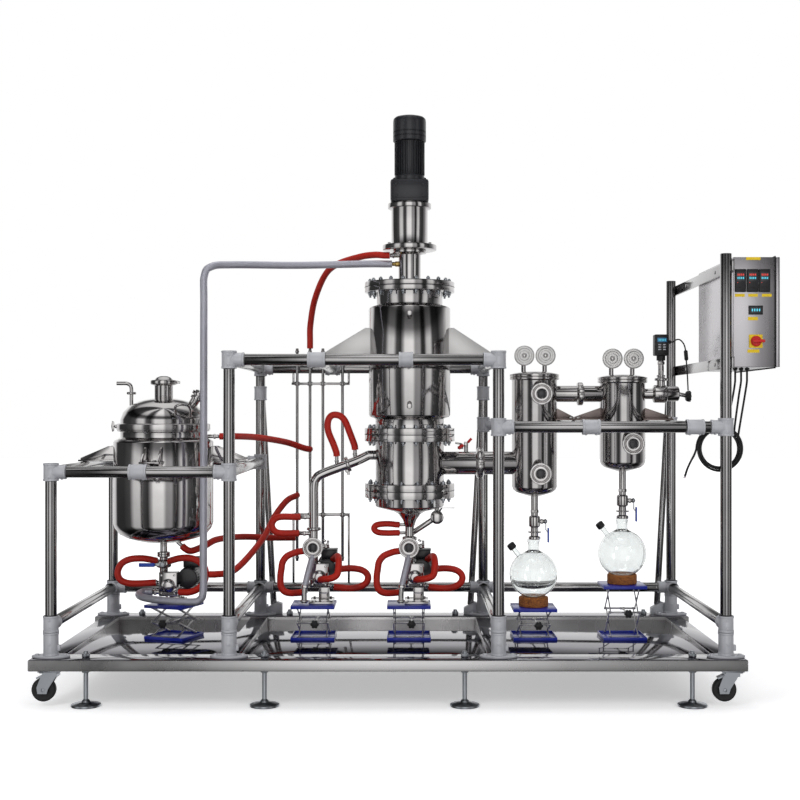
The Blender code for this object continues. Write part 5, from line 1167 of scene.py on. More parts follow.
def jack_arms(top, spin):
    """Two stages of crossed arms on their rods, and the star knob that drives them."""
    base = 0.1903
    slope = math.asin((top - base - 0.012 - 0.0154) / 2 / ARM)
    seat = 0.0055 * (math.cos(slope) + math.sin(slope)) + GAP
    low, high = base + 0.006 + seat, top - 0.006 - seat
    stage = (high - low) / 2
    half = math.sqrt(ARM**2 - stage**2) / 2
    arms, knob = [], []
    for level in range(2):
        z0 = low + stage * level
        for side in (-1, 1):
            for lean, inset in ((-1, 0.070), (1, 0.063)):
                a, b = Vector((side * inset, -lean * half, z0)), Vector((side * inset, lean * half,
                    z0 + stage))
                pitch = math.atan2((b - a).z, (b - a).y)
                arms.append(block((0.0045, (b - a).length + 0.009, 0.0105), (a + b) / 2, 0.0015,
                    tilt=(pitch, 0)))
                arms += [bar(p + Vector((-0.004, 0, 0)), p + Vector((0.004, 0, 0)), 0.0052, sides=16,
                    edge=0.0008) for p in (a, b)]
            arms.append(bar((side * 0.060, 0, z0 + stage / 2), (side * 0.073, 0, z0 + stage / 2),
                0.0040, sides=16))
    for y0, z0 in ((-half, low), (-half, low + stage), (half, low + stage), (half, high)):
        arms.append(bar((-0.072, y0, z0), (0.072, y0, z0), 0.0042, sides=20))
    middle = low + stage
    arms += [block((0.022, 0.012, 0.012), (0.012, y0, middle), 0.002) for y0 in (-half, half)]
    arms.append(bar((0.012, -half - 0.040, middle), (0.012, half, middle), 0.0040, sides=20))
    knob.append(lathe([(0, 0.016), (0.010, 0.016), (0.012, 0.013), (0.012, 0), (0, 0)],
        (0.012, -half - 0.037, middle), (0, -1, 0), 24))
    for lobe in range(6):
        a = math.tau * lobe / 6
        lx, lz = 0.012 + 0.0125 * math.cos(a), middle + 0.0125 * math.sin(a)
        knob.append(bar((lx, -half - 0.039, lz), (lx, -half - 0.051, lz), 0.0075, sides=20, edge=0.002))
    for part in arms + knob:
        part.matrix_world = spin
        settle(part)
    return arms, knob


for number, (x, turn) in enumerate(((-1.080, -0.35), (-0.431, 0.0), (0.010, 0.0)), 1):
    spin = Matrix.Translation((x, 0, 0)) @ Matrix.Rotation(turn, 4, "Z")
    dressed(f"pump_jack_{number}", f"pump_jack_plates_{number}",
        jack_plate(0.1933, spin, 1) + jack_plate(0.345, spin, -1), blue_enamel, slot="blue_enamel")
    arms, knob = jack_arms(0.348, spin)
    made(f"pump_jack_arms_{number}", arms, rail_steel, slot="blue_enamel")
    made(f"pump_jack_knob_{number}", knob, black_plastic, slot="blue_enamel")

for number, (x, top, travel) in enumerate(((0.588, 0.334, 0.064), (0.999, 0.439, 0.165)), 1):
    spin = Matrix.Translation((x, 0, 0))
    dressed(f"jack_base_{number}", f"flask_jack_tray_{number}", jack_plate(0.1933, spin, 1),
        blue_enamel, slot="blue_enamel")
    dressed(f"jack_platform_{number}", f"flask_jack_shelf_{number}", jack_plate(top - 0.003, spin, -1),
        blue_enamel, f"flask_stand_{number}", "blue_enamel")
    arms, knob = jack_arms(top, spin)
    arm_piece = dressed(f"jack_scissor_{number}", f"flask_jack_arms_{number}", arms, rail_steel,
        slot="zinc_plate")
    knob_piece = made(f"flask_jack_knob_{number}", knob, black_plastic, slot="zinc_plate")
    for piece in (arm_piece, knob_piece):
        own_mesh(piece)

# %% [markdown]
# ## Gear pumps
# Each pump is a steel block on a foot with a black finned motor behind it, a sight
# port that faces the front, a braided spout and thick red hose loops on barbs.

# %% Pumps
def pump_motor(motor_x, z):
    """A finned motor behind its pump, with a terminal box on top."""
    parts = [lathe([(0, 0), (0.044, 0), (0.047, 0.004), (0.047, 0.010), (0.0435, 0.012),
        (0.0435, 0.190), (0.047, 0.192), (0.0545, 0.200), (0.056, 0.206), (0.056, 0.234),
        (0.052, 0.241), (0, 0.242)], (motor_x, 0.020, z + 0.020), (0, 1, 0), 48)]
    fin = block((0.008, 0.170, 0.002), (0.0455, 0.115, 0), 0.0005)
    for turn in range(24):
        parts.append(copied(fin, Matrix.Translation((motor_x, 0.020,
            z + 0.020)) @ Matrix.Rotation(math.radians(turn * 15), 4, "Y")))
    bpy.data.objects.remove(fin)
    parts += [block((0.074, 0.080, 0.046), (motor_x + 0.008, 0.120, z + 0.086), 0.004),
        block((0.078, 0.084, 0.006), (motor_x + 0.008, 0.120, z + 0.106), 0.0015)]
    return parts


def pump_steel_parts(x, z):
    """Foot, gear body and front cover, with their nuts."""
    top = 0.3483  # one gap above the jack's platform
    parts = [block((0.110, 0.170, 0.012), (x + 0.035, 0.030, top + 0.006), 0.002),
        block((0.050, 0.060, z - top - 0.012), (x + 0.045, 0.060, (z + top) / 2 + 0.002), 0.003)]
    parts += [block((0.086, 0.026, 0.112), (x + 0.026, -0.027, z), 0.005),
        block((0.080, 0.046, 0.108), (x + 0.026, 0.012, z), 0.004)]
    parts += [lathe([(0, 0.016), (0.018, 0.016), (0.022, 0.012), (0.030, 0.010), (0.032, 0.006),
        (0.032, 0), (0, 0)], (x + 0.028, -0.038, z - 0.006), (0, -1, 0), 40)]
    for dx in (-0.030, 0.030):
        for dz in (-0.042, 0.042):
            parts.append(hex_nut((x + 0.026 + dx, -0.0425, z + dz), 0.011, 0.006, (0, 1, 0)))
            parts.append(hex_nut((x + 0.035 + dx * 1.3, 0.030 + dz * 1.6, top + 0.0150), 0.012, 0.006))
    return parts


def sight_port(x, z, y0, reach, radius, tube_r):
    """A port that faces the front: a clamp ring with screws round a glass painted dark, painted shade
    of the unlit inside.
    """
    parts = [lathe([(0, reach - 0.006), (radius * 0.40, reach - 0.006), (radius * 0.46, reach - 0.001),
        (radius * 0.68, reach - 0.001), (radius * 0.72, reach - 0.007), (radius * 0.78, reach - 0.007),
        (radius * 0.82, reach), (radius, reach), (radius, reach - 0.014),
        (radius * 0.97, reach - 0.016), (tube_r, reach - 0.018), (tube_r, 0), (0, 0)], (x, y0, z),
        (0, -1, 0), 48)]
    for number in range(8):
        a = math.tau * (number + 0.5) / 8
        sx, sz = x + radius * 0.90 * math.cos(a), z + radius * 0.90 * math.sin(a)
        parts.append(bar((sx, y0 - reach + 0.002, sz), (sx, y0 - reach - 0.0005, sz), radius * 0.075,
            sides=12, edge=0.0006))
    glass = lathe([(0, 0.0030), (radius * 0.30, 0.0022), (radius * 0.40, 0.0), (0, 0.0)],
        (x, y0 - reach + 0.006, z), (0, -1, 0), 40, edge=0)
    return parts, glass


port_glasses = []
for name, x, inlet, loop_side in (("distillate", -0.431, 0.700, True),
        ("residue", 0.010, 0.641, False)):
    steel = pump_steel_parts(x, 0.480)
    steel += [bar((x, 0, 0.530), (x, 0, inlet - 0.012), 0.0195),
        lathe([(0, 0), (0.030, 0), (0.034, -0.004), (0.034, -0.011), (0.026, -0.0155), (0, -0.0155)],
        (x, 0, inlet - GAP))]
    port, glass = sight_port(x, 0.612, 0.010, 0.090, 0.047, 0.028)
    steel += port
    port_glasses.append(glass)
    steel += [bar((x + 0.006, 0, 0.612), (x + 0.072, 0, 0.612), 0.0098, sides=24),
        hex_nut((x + 0.056, 0, 0.612), 0.026, 0.014, (1, 0, 0)),
        block((0.012, 0.040, 0.012), (x + 0.066, -0.014, 0.626), 0.002, tilt=(0.4, 0)),
        hex_nut((x + 0.050, -0.012, 0.640), 0.016, 0.010, (0.5, 0, 0.8))]
    if loop_side:
        steel += [bar((x, 0, 0.672), (x - 0.068, 0, 0.672), 0.0095, sides=24),
            hex_nut((x - 0.044, 0, 0.672), 0.024, 0.012, (1, 0, 0))]
    steel += [barb((x - 0.012, -0.040, 0.604), (-1, -0.65, -0.12), 0.034),
        barb((x - 0.028, -0.022, 0.406), (-1, -0.4, 0.05), 0.036),
        barb((x + 0.020, -0.020, 0.460), (0.6, -1, 0.1), 0.040)]
    steel += [barb((x + 0.066, 0.055, 0.491), (1, 0.05, 0.1), 0.030),
        barb((x + 0.060, 0.012, 0.430), (1, 0.2, -0.15), 0.036)]
    dressed(name + "_pump", name + "_pump_steel", steel, mirror_steel, slot="pump_steel")
    made(name + "_pump_motor", pump_motor(x + 0.057, 0.480), black_enamel, slot="black_enamel")
    made(name + "_pump_spout", [piped([(x, -0.040, 0.590), (x - 0.001, -0.056, 0.577),
        (x - 0.004, -0.074, 0.560), (x - 0.014, -0.098, 0.520), (x - 0.026, -0.112, 0.470),
        (x - 0.031, -0.115, 0.448)], 0.0145, silver_braid, "spout")], silver_braid,
        slot="silver_sleeve")
    made(name + "_pump_outlet", [piped([(x - 0.030, -0.1145, 0.452), (x - 0.034, -0.116, 0.430),
        (x - 0.036, -0.116, 0.405), (x - 0.036, -0.116, 0.364)], 0.0125, mirror_steel, "outlet"),
        hex_nut((x - 0.0325, -0.1155, 0.440), 0.034, 0.012, (0.2, 0, 1)),
        ferrule(0.0185, 0.006, 0.0015, (x - 0.036, -0.116, 0.374), steps=28)], mirror_steel,
        slot="pump_steel")
    formed_hose(name + "_pump_front_hose", [(-0.020, -0.044, 0.600), (-0.040, -0.058, 0.597),
        (-0.075, -0.074, 0.592), (-0.115, -0.084, 0.576), (-0.136, -0.086, 0.550),
        (-0.142, -0.086, 0.520), (-0.147, -0.086, 0.480), (-0.145, -0.086, 0.440),
        (-0.132, -0.085, 0.417), (-0.108, -0.079, 0.406), (-0.070, -0.062, 0.404),
        (-0.040, -0.048, 0.405)], x=x)
    formed_hose(name + "_pump_right_hose", [(0.030, -0.040, 0.462), (0.040, -0.070, 0.466),
        (0.062, -0.094, 0.471), (0.092, -0.104, 0.478), (0.112, -0.102, 0.492), (0.119, -0.092, 0.520),
        (0.119, -0.070, 0.550), (0.115, -0.035, 0.566), (0.108, -0.004, 0.566), (0.098, 0.024, 0.556),
        (0.088, 0.045, 0.546)], x=x)
    formed_hose(name + "_pump_flat_hose", [(0.090, 0.057, 0.494), (0.130, 0.060, 0.500),
        (0.175, 0.061, 0.502), (0.215, 0.059, 0.496), (0.240, 0.054, 0.482), (0.250, 0.049, 0.462),
        (0.244, 0.043, 0.440), (0.222, 0.037, 0.423), (0.185, 0.030, 0.414), (0.140, 0.026, 0.414),
        (0.090, 0.019, 0.421)], x=x)
# the pump port glasses are painted dark: painted shade of the unlit insides
made("pump_port_glasses", port_glasses, dark_inside)

x = VX
steel = pump_steel_parts(x, 0.440)
steel += [lathe([(0, 0.5747), (0.030, 0.5747), (0.030, 0.565), (0.019, 0.561), (0.019, 0.552),
    (0.030, 0.549), (0.034, 0.544), (0.034, 0.520), (0.030, 0.515), (0.019, 0.512), (0.019, 0.480),
    (0, 0.480)], (x, 0, 0), steps=40), bar((x, 0, 0.532), (x, -0.046, 0.532), 0.0088, sides=24),
    hex_nut((x, -0.038, 0.532), 0.024, 0.010, (0, 1, 0))]
steel += [bar((x - 0.010, 0, 0.400), (x - 0.052, 0, 0.400), 0.0115, sides=24),
    hex_nut((x - 0.040, 0, 0.400), 0.030, 0.012, (1, 0, 0))]
steel += [barb((x - 0.016, -0.001, 0.543), (-1, -0.1, 0.15), 0.034),
    barb((x + 0.014, -0.004, 0.543), (1, -0.6, 0.2), 0.034),
    barb((x - 0.016, -0.002, 0.444), (-1, -0.05, 0), 0.036),
    barb((x + 0.060, -0.038, 0.408), (1, -0.3, 0.05), 0.034)]
dressed("feed_pump", "feed_pump_steel", steel, mirror_steel, slot="pump_steel")
made("feed_pump_motor", pump_motor(x + 0.105, 0.440), black_enamel, slot="black_enamel")
formed_hose("feed_pump_left_hose", [(-0.030, -0.002, 0.5435), (-0.060, -0.007, 0.551),
    (-0.100, -0.013, 0.557), (-0.150, -0.019, 0.554), (-0.186, -0.022, 0.538), (-0.204, -0.024, 0.512),
    (-0.208, -0.024, 0.484), (-0.196, -0.023, 0.459), (-0.172, -0.020, 0.446), (-0.140, -0.016, 0.441),
    (-0.090, -0.009, 0.441), (-0.035, -0.003, 0.4435)], x=x)
formed_hose("feed_pump_right_hose", [(0.030, -0.013, 0.545), (0.055, -0.034, 0.554),
    (0.090, -0.055, 0.563), (0.135, -0.067, 0.564), (0.175, -0.071, 0.549), (0.200, -0.072, 0.522),
    (0.206, -0.072, 0.492), (0.200, -0.071, 0.460), (0.183, -0.070, 0.434), (0.155, -0.066, 0.415),
    (0.120, -0.059, 0.405), (0.080, -0.046, 0.405)], x=x)

# %% [markdown]
# ## Valve handles
# A blue dipped lever: a steel hub and a joggled neck, with a vinyl grip. The same
# shape serves all three valves, turned to each stem, and rides on the handle's body.

# %% Lever handles
def lever(name, node, pivot, axis, reach, length, body):
    """Shape the handle along X on a hub along Z, and turn both to the stem."""
    pivot, axis, reach = Vector(pivot), Vector(axis), Vector(reach)
    turn = Matrix((reach, axis.cross(reach), axis)).transposed().to_4x4()
    turn.translation = pivot
    steel = [bar((0, 0, 0), (0, 0, 0.008), 0.0115, sides=24), hex_nut((0, 0, 0.010), 0.015, 0.005),
        block((0.042, 0.0135, 0.0035), (0.020, 0, 0.006), 0.001),
        block((0.024, 0.0130, 0.0040), (0.046, 0, 0.0115), 0.001, tilt=(0, math.radians(-35)))]
    grip = [block((length - 0.027, 0.018, 0.0072), (0.0165 + length / 2, 0, 0.0175), 0.0030)]
    for part in steel + grip:
        part.matrix_world = turn @ part.matrix_world
        settle(part)
    dressed(node, name + "_lever", steel, zinc, body, "blue_enamel")
    made(name + "_grip", grip, blue_vinyl, body, "blue_enamel")


lever("feed_valve", "feed_valve_handle", (VX, -0.0463, 0.532), (0, -1, 0), (-1, 0, 0), 0.100,
    "feed_valve")
lever("drain_valve_1", "drain_handle_1", (0.6393, 0, 0.7273), (1, 0, 0), (0, 0, -1), 0.095,
    "drain_valve_1")
lever("drain_valve_2", "drain_handle_2", (1.0473, 0, 0.8243), (1, 0, 0), (0, 0, -1), 0.095,
    "drain_valve_2")

# %% [markdown]
# ## Condensers
# Two polished cans with arched ports on top that face the front, sight ports, and a
# drain with a ball valve. The cans' caps are clamped by a rolled ring.

# %% Condensers
def side_arm(disc, face, pipe, neck, length, place, way):
    """A pipe from a joint disc back into the can, along -X (1) or +X (-1)."""
    return lathe([(0, 0), (disc, 0), (disc, -face), (pipe, -neck), (pipe, -length), (0, -length)],
        place, (way, 0, 0))


for number, (x, top, bottom, neck_z) in enumerate(((0.593, 1.411, 0.850, 0.483),
        (1.001, 1.397, 0.966, 0.580)), 1):
    outlet = neck_z + 0.161 + GAP
    steel = [lathe([(0, top + 0.014), (0.060, top + 0.011), (0.100, top + 0.003), (0.1145, top - 0.002),
        (0.1145, top - 0.012), (0.111, top - 0.014), (0.1145, top - 0.016), (0.1145, top - 0.026),
        (0.1045, top - 0.029), (0.1045, bottom + 0.040), (0.099, bottom + 0.026),
        (0.084, bottom + 0.013), (0.050, bottom + 0.002), (0.014, bottom - 0.008), (0, bottom - 0.010)],
        (x, 0, 0))]
    steel.append(lathe([(0, bottom + 0.004), (0.017, bottom + 0.004), (0.017, outlet + 0.110),
        (0.0255, outlet + 0.106), (0.027, outlet + 0.102), (0.027, outlet + 0.064),
        (0.0255, outlet + 0.060), (0.018, outlet + 0.056), (0.018, outlet + 0.016),
        (0.028, outlet + 0.012), (0.028, outlet), (0, outlet)], (x, 0, 0), steps=40))
    steel += [bar((x + 0.020, 0, outlet + 0.083), (x + 0.046, 0, outlet + 0.083), 0.0088, sides=24),
        hex_nut((x + 0.034, 0, outlet + 0.083), 0.024, 0.010, (1, 0, 0))]
    steel += [hex_nut((x, 0, outlet + 0.130), 0.042, 0.014),
        lathe([(0, 0.004), (0.030, 0.003), (0.032, 0), (0.030, -0.003), (0, -0.004)],
        (x, 0, outlet + 0.034), steps=36)]
    discs = []
    for dx in (-0.049, 0.049):
        steel.append(piped([(x + dx, 0.020, top - 0.006), (x + dx, 0.020, top + 0.010),
            (x + dx, 0.020, top + 0.050), (x + dx, 0.016, top + 0.070), (x + dx, 0.004, top + 0.082),
            (x + dx, -0.004, top + 0.084)], 0.0108, mirror_steel, "arch"))
        discs.append(lathe([(0, 0.044), (0.010, 0.044), (0.011, 0.046), (0.022, 0.046), (0.023, 0.044),
            (0.032, 0.044), (0.034, 0.046), (0.044, 0.046), (0.0465, 0.044), (0.0465, 0.032),
            (0.030, 0.026), (0.016, 0.020), (0.016, 0), (0, 0)], (x + dx, 0.018, top + 0.085),
            (0, -1, 0), 48))
        steel.append(lathe([(0, 0.0495), (0.007, 0.0490), (0.008, 0.046), (0, 0.046)],
            (x + dx, 0.018, top + 0.085), (0, -1, 0), 20))
    for sx, sz in (((x + 0.020, 1.318), (x + 0.016, 0.954)) if number == 1 else ((x + 0.028, 1.091),)):
        port, glass = sight_port(sx, sz, -0.080, 0.065, 0.050, 0.036)
        steel += port
        # the condenser's sight glass is painted dark: painted shade of the unlit inside
        made(f"condenser_sight_{number}_{int(sz * 1000)}", [glass], dark_inside)
    rail_top = RIGHT + TUBE_R + GAP
    if number == 1:
        steel.append(side_arm(0.0685, 0.012, 0.0535, 0.018, 0.1727, (0.3403, 0, 0.998), -1))
        steel.append(side_arm(0.0505, 0.011, 0.0375, 0.016, 0.131, (0.804, 0, 1.319), 1))
        spans = ((x + 0.0925, 0.775),)
    else:
        steel.append(side_arm(0.0505, 0.011, 0.0375, 0.016, 0.1167, (0.8043, 0, 1.319), -1))
        steel.append(lathe([(0, 0.261), (0.030, 0.261), (0.034, 0.256), (0.034, 0.206), (0.040, 0.202),
            (0.041, 0.196), (0.041, 0.150), (0.040, 0.145), (0.024, 0.139), (0.024, 0.080), (0, 0.080)],
            (x, 0, 1.319), (1, 0, 0)))
        steel += [bar((1.258, 0, 1.319), (1.300, 0, 1.310), 0.0095, sides=24),
            bar((1.180, 0, 1.339), (1.180, 0, 1.396), 0.0195)]
        steel += [ferrule(0.030, 0.006, 0.002, (1.180, 0, 1.386))]
        spans = ((0.777, x - 0.0925), (x + 0.0925, 1.232))
    lugs = []
    for low_x, high_x in spans:
        lugs.append(block((high_x - low_x, 0.080, 0.008), ((low_x + high_x) / 2, 0, rail_top + 0.004),
            0.0015))
        inner, outer = (low_x, high_x) if low_x > x else (high_x, low_x)
        lugs.append(flat_plate([(inner, rail_top + 0.006), (outer, rail_top + 0.006),
            (outer, rail_top + 0.016), (inner, rail_top + 0.062)], 0.008, about_x(0, 0, 0)))
        steel += [hex_nut((outer + (0.016 if outer < x else -0.016), ny, rail_top + 0.0125), 0.018,
            0.009) for ny in (-0.024, 0.024)]
    dressed(f"condenser_{number}", f"condenser_steel_{number}", steel, mirror_steel,
        slot="vessel_steel")
    made(f"port_discs_{number}", discs, pale_steel, slot="vessel_steel")
    made(f"condenser_lugs_{number}", lugs, warm_metal, slot="vessel_steel")
clamps = []
for cx, cz, r in ((0.3402, 0.998, 0.0715), (0.8042, 1.319, 0.0535)):
    clamps.append(lathe([(r - 0.004, 0.013), (r, 0.009), (r, -0.009), (r - 0.004, -0.013)], (cx, 0, cz),
        (1, 0, 0), closed=True, steps=48))
    clamps += [block((0.022, 0.026, 0.014), (cx, -r - 0.004, cz + 0.012), 0.002),
        block((0.022, 0.026, 0.014), (cx, -r - 0.004, cz - 0.012), 0.002),
        bar((cx, -r - 0.008, cz + 0.030), (cx, -r - 0.008, cz - 0.026), 0.0035, sides=16),
        hex_nut((cx, -r - 0.008, cz + 0.024), 0.014, 0.008)]
made("pipe_clamps", clamps, mirror_steel, slot="vessel_steel")
made("outlet_knob", [lathe([(0, 0.012), (0.018, 0.012), (0.0225, 0.008), (0.0255, 0), (0.0225, -0.008),
    (0.018, -0.012), (0, -0.012)], (1.306, 0, 1.308), (1, 0, 0), 32)]
    + [bar((1.306, 0.0215 * math.cos(a), 1.308 + 0.0215 * math.sin(a)),
    (1.3175, 0.0215 * math.cos(a), 1.308 + 0.0215 * math.sin(a)), 0.0042, sides=12)
    for a in [k * math.tau / 8 for k in range(8)]], black_plastic, slot="black_plastic")

# %% [markdown]
# ## Gauge
# A black head with a blue window and grey keys on a bright stem.

# %% Gauge
gauge = [block((0.066, 0.056, 0.098), (1.180, 0, 1.545), 0.005),
    block((0.058, 0.006, 0.088), (1.180, -0.0270, 1.547), 0.0025),
    bar((1.180, 0, 1.474), (1.180, 0, 1.500), 0.0205)]
gauge.append(bar((1.210, 0, 1.560), (1.226, 0, 1.560), 0.0088, sides=24))
dressed("vacuum_gauge", "gauge_head", gauge, black_plastic, slot="black_plastic")
made("gauge_stem", [bar((1.180, 0, 1.3963), (1.180, 0, 1.474), 0.0135),
    hex_nut((1.180, 0, 1.462), 0.036, 0.014), lathe([(0, 0.004), (0.020, 0.004), (0.020, -0.004),
    (0, -0.004)], (1.180, 0, 1.402), steps=32)], mirror_steel, slot="vessel_steel")
made("gauge_window", [block((0.044, 0.002, 0.020), (1.180, -0.0300, 1.568), 0.0008)], blue_window)
made("gauge_digits", [block((0.004, 0.001, 0.009), (1.180 + dx, -0.0312, 1.568), 0.0003)
    for dx in (-0.014, -0.007, 0.0, 0.007, 0.014)], cyan_digits)
made("gauge_keys", [block((0.013, 0.002, 0.006), (1.180 + dx, -0.0300, z), 0.0008)
    for dx in (-0.011, 0.011) for z in (1.546, 1.535, 1.524)], cast_grey)

# %% [markdown]
# ## Flasks on cork rings
# The flask is blown glass with a real wall: the profile runs up the outside, over the
# rim and down the inside. The ring's dish follows the ball that sits in it.

# %% Flasks and rings
BALL_OUT, BALL_IN, RING_R = 0.111, 0.107, 0.1115


def ball_arc(radius, middle, angles):
    """Points of a ball's section, with angles in degrees from its top."""
    return [(radius * math.sin(math.radians(a)), middle + radius * math.cos(math.radians(a)))
        for a in angles]


for number, (x, z, base) in enumerate(((0.588, 0.483, 0.334), (0.999, 0.580, 0.439)), 1):
    outer = ball_arc(BALL_OUT, z, range(180, 13, -6))
    outer[0] = (0, z - BALL_OUT)
    neck = [(0.0255, z + 0.1115), (0.0250, z + 0.118), (0.0250, z + 0.146), (0.0290, z + 0.151),
        (0.0290, z + 0.161), (0.0215, z + 0.161), (0.0205, z + 0.130), (0.0205, z + 0.103)]
    inner = ball_arc(BALL_IN, z, range(12, 181, 6))
    inner[-1] = (0, z - BALL_IN)
    glass = lathe(outer + neck + inner[1:], (x, 0, 0), steps=72, edge=0)
    lean = Vector((-math.sin(math.radians(38)), 0, math.cos(math.radians(38))))
    middle = Vector((x, 0, z))
    side_neck = lathe([(0.0095, 0.1085), (0.012, 0.1085), (0.012, 0.150), (0.0095, 0.150)], middle,
        lean, 32, closed=True, edge=0)
    dressed(f"flask_{number}", f"flask_glass_{number}", [glass, side_neck], clear_glass,
        f"flask_stand_{number}", "flask_glass")
    cap = [lathe([(0, 0.179), (0.015, 0.179), (0.0175, 0.176), (0.018, 0.172), (0.018, 0.151),
        (0.0125, 0.149), (0, 0.149)], middle, lean, 32)]
    side_axis = lean.orthogonal().normalized()
    other = lean.cross(side_axis)
    for k in range(12):
        edge_way = side_axis * math.cos(k * math.tau / 12) + other * math.sin(k * math.tau / 12)
        cap.append(bar(middle + lean * 0.153 + edge_way * 0.0174,
            middle + lean * 0.174 + edge_way * 0.0174, 0.0014, sides=8, edge=0.0004))
    made(f"flask_cap_{number}", cap, black_plastic, f"flask_stand_{number}", "black_plastic")
    bottom = base + GAP
    top = bottom + 0.045
    rim_r = math.sqrt(RING_R**2 - (z - top) ** 2)
    dish = [(0.032 + (rim_r - 0.032) * k / 8) for k in range(9)]
    ring = lathe([(0.0645, top), (0.0675, top - 0.0015), (0.0685, top - 0.005),
        (0.0685, bottom + 0.005), (0.0675, bottom + 0.0015), (0.0645, bottom), (0.032, bottom)]
        + [(r, z - math.sqrt(RING_R**2 - r**2)) for r in dish], (x, 0, 0), closed=True)
    dressed(f"cork_ring_{number}", f"cork_seat_{number}", [ring], cork, f"flask_stand_{number}", "cork")

# %% [markdown]
# ## Control cabinet
# A folded sheet box with a gasketed door on its right side. Its narrow face towards
# the front carries three black controllers, a small display, a yellow switch plate
# and bare yellow tags.

# %% Cabinet
SWITCH_X = 1.4665
front, back, bottom, top, west, mouth = -0.575, 0.080, 1.424, 1.886, 1.3728, 1.5527
mid_y, mid_z, mid_x = (front + back) / 2, (top + bottom) / 2, (mouth + west) / 2
shell = block((mouth - west, back - front, top - bottom), (mid_x, mid_y, mid_z), 0.0025)
shell = cut_out(shell, [block((mouth - west, back - front - 0.008, top - bottom - 0.008),
    (mid_x + 0.004, mid_y, mid_z), 0.002)])
cabinet = [shell]
for z in (1.500, 1.730):
    cabinet += [bar((1.5547, 0.0875, z - 0.020), (1.5547, 0.0875, z + 0.020), 0.0048, sides=20),
        block((0.018, 0.006, 0.036), (1.5437, back + 0.002, z), 0.001)]
cabinet.append(block((0.004, back - front - 0.090, top - bottom - 0.070), (west + 0.010, mid_y, mid_z),
    0.001))
dressed("control_cabinet", "cabinet_shell", cabinet, cabinet_steel, slot="cabinet_steel")
gear = []
for z in (1.540, 1.660, 1.780):
    gear.append(block((0.008, back - front - 0.120, 0.035), (west + 0.016, mid_y - 0.010, z), 0.001))
    for k in range(9):
        gear.append(block((0.050, 0.034, 0.076), (west + 0.045, front + 0.140 + k * 0.044, z), 0.003))
made("switchgear", gear, black_plastic, slot="black_plastic")
seal_x = mouth - 0.003
seal = [block((0.003, 0.010, top - bottom), (seal_x, front - 0.0004, mid_z), 0.0008)]
seal += [block((0.003, back - front, 0.010), (seal_x, mid_y, z), 0.0008)
    for z in (top + 0.0004, bottom - 0.0004)]
made("door_gasket", seal, black_rubber, slot="cable_rubber")
glands = []
for x, y in GLANDS:
    glands += [hex_nut((x, y, 1.4205), 0.022, 0.006),
        lathe([(0.0, 0), (0.0095, 0), (0.0095, -0.004), (0.008, -0.010), (0.0055, -0.0118),
        (0, -0.0118)], (x, y, 1.4240), steps=24)]
made("cable_glands", glands, black_plastic, slot="black_plastic")

controllers, windows, digits, marks = [], [], [], []
for k in range(3):
    x = 1.4020 + k * 0.0505  # one pitch apart
    controllers += [block((0.048, 0.008, 0.096), (x, front - 0.003, 1.787), 0.002),
        block((0.043, 0.003, 0.090), (x, front - 0.0078, 1.787), 0.001)]
    windows += [block((0.036, 0.001, 0.040), (x, front - 0.0094, 1.803), 0.0003)]
    for row, z in enumerate((1.811, 1.797)):
        for d in range(4):
            (digits if row else marks).append(block((0.0042, 0.0006, 0.0085),
                (x - 0.0115 + d * 0.0076, front - 0.0101, z), 0.0002))
    marks += [block((0.003, 0.0006, 0.003), (x - 0.013, front - 0.0097, 1.778), 0.0002)]
    controllers += [block((0.008, 0.002, 0.005), (x - 0.0135 + d * 0.009, front - 0.0096, 1.757),
        0.0006) for d in range(4)]
made("controllers", controllers + [block((0.060, 0.006, 0.038), (SWITCH_X, front - 0.002, 1.663),
    0.0015)], black_plastic, slot="black_plastic")
made("controller_windows", windows + [block((0.046, 0.001, 0.024), (SWITCH_X, front - 0.0054, 1.663),
    0.0003)], dark_inside)
made("controller_digits", digits + [block((0.005, 0.0006, 0.011),
    (SWITCH_X - 0.015 + d * 0.010, front - 0.0061, 1.663), 0.0002) for d in range(4)], cyan_digits)
made("controller_marks", marks, red_marks)
# Each tag's centre in X and Z, its width and its height.
TAGS = ((1.45688, 1.87963, 0.06046, 0.01237), (1.40008, 1.72528, 0.04122, 0.01237),
    (1.45573, 1.72528, 0.03985, 0.01237), (1.51344, 1.72528, 0.04076, 0.01237),
    (1.45505, 1.62726, 0.04122, 0.0142), (1.45734, 1.491, 0.05038, 0.01374))
tags = [block((wide, 0.0012, high), (x, front - 0.0006, z), 0.0003) for x, z, wide, high in TAGS]
tags.append(block((0.056, 0.0066, 0.056), (SWITCH_X, front - 0.0035, 1.532), 0.0012))
made("yellow_tags", tags, yellow_plate)
knob = [lathe([(0, 0.014), (0.018, 0.014), (0.020, 0.011), (0.023, 0.003), (0.023, 0), (0, 0)],
    (SWITCH_X, -0.5823, 1.532), (0, -1, 0), 40), block((0.052, 0.015, 0.013), (1.4725, -0.6030, 1.532),
    0.004)]
dressed("main_switch", "switch_knob", knob, red_plastic, "switch", "red_plastic")

leaf = block((0.016, back - front, top - bottom), (1.561, mid_y, mid_z), 0.0025)
leaf = cut_out(leaf, [block((0.013, back - front - 0.012, top - bottom - 0.012), (1.558, mid_y, mid_z),
    0.001)])
door = [leaf]
for z in (1.5405, 1.7705):
    door += [bar((1.5547, 0.0875, z - 0.0195), (1.5547, 0.0875, z + 0.0195), 0.0048, sides=20),
        block((0.014, 0.006, 0.036), (1.5627, back + 0.002, z), 0.001)]
door += [lathe([(0, 0.003), (0.008, 0.003), (0.0105, 0.001), (0.011, -0.002), (0.011, -0.006),
    (0, -0.006)], (1.569, front + 0.034, mid_z), (1, 0, 0), 32)]
dressed("cabinet_door", "door_leaf", door, cabinet_steel, "door", "cabinet_steel")

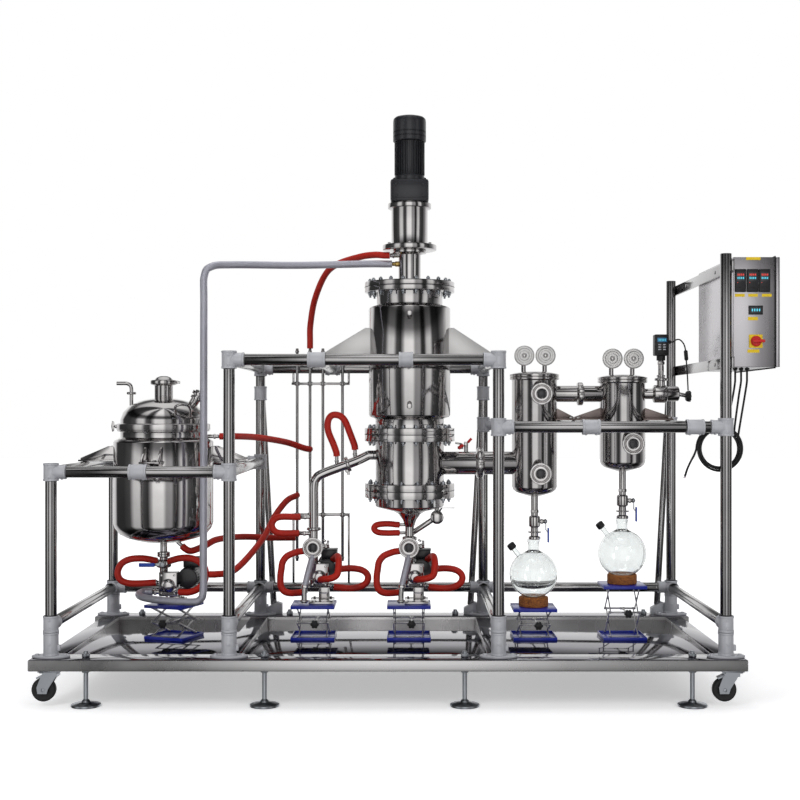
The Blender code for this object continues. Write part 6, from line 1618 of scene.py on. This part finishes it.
# %% [markdown]
# ## Services
# A silver braided sleeve covers the pipe that runs from the head down to the feed
# pump. Four slim risers stand between two clip bars at the back.

# %% Sleeved pipe and risers
RISER_X = (-0.555, -0.490, -0.425, -0.326)
sleeve = [(-0.0688, 0, 1.922), (-0.0988, 0, 1.922), (-0.200, -0.010, 1.921), (-0.500, -0.070, 1.908),
    (-0.780, -0.180, 1.898), (-0.868, -0.238, 1.884), (-0.900, -0.252, 1.840), (-0.902, -0.252, 1.700),
    (-0.903, -0.252, 1.100), (-0.904, -0.252, 0.600), (-0.905, -0.252, 0.440), (-0.920, -0.248, 0.400),
    (-0.960, -0.240, 0.388), (-1.100, -0.190, 0.388), (-1.195, -0.120, 0.390), (-1.232, -0.060, 0.396),
    (-1.226, -0.010, 0.400), (-1.2023, 0, 0.400), (-1.1803, 0, 0.400)]
dressed("insulated_pipe", "sleeved_pipe", [piped(sleeve, 0.0165, silver_braid, "sleeve", rings=8,
    steps=14)], silver_braid, slot="silver_sleeve")
risers = []
for x in RISER_X:
    risers.append(bar((x, 0.535, 0.482), (x, 0.535, 1.556), 0.0074, sides=28))
    risers += [hex_nut((x, 0.535, z), 0.022, 0.010) for z in (0.500, 1.540)]
for z in (0.716, 1.378):
    risers.append(block((0.293, 0.060, 0.012), (-0.4365, 0.555, z), 0.002))
    risers += [lathe([(0.0074, 0.010), (0.013, 0.010), (0.013, -0.010), (0.0074, -0.010)],
        (x, 0.535, z), steps=24, closed=True) for x in RISER_X]
for x in (-0.577, -0.296):
    risers += [block((0.011, 0.011, 0.3465), (x, POST_Y, 0.5428), 0.001),
        block((0.011, 0.011, 0.0525), (x, POST_Y, 1.4043), 0.001)]
dressed("riser_manifold", "risers_and_clips", risers, tube_steel, slot="vessel_steel")

# %% [markdown]
# ## Nodes that stay
# The castor forks keep their solids and get a zinc finish.

# %% Finish the solids that stay
for row in ("front", "back"):
    for column in ("left", "right"):
        solid_in(f"caster_fork_{row}_{column}", zinc)
print("solids still shown:", [o.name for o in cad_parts.values() if not o.hide_render])
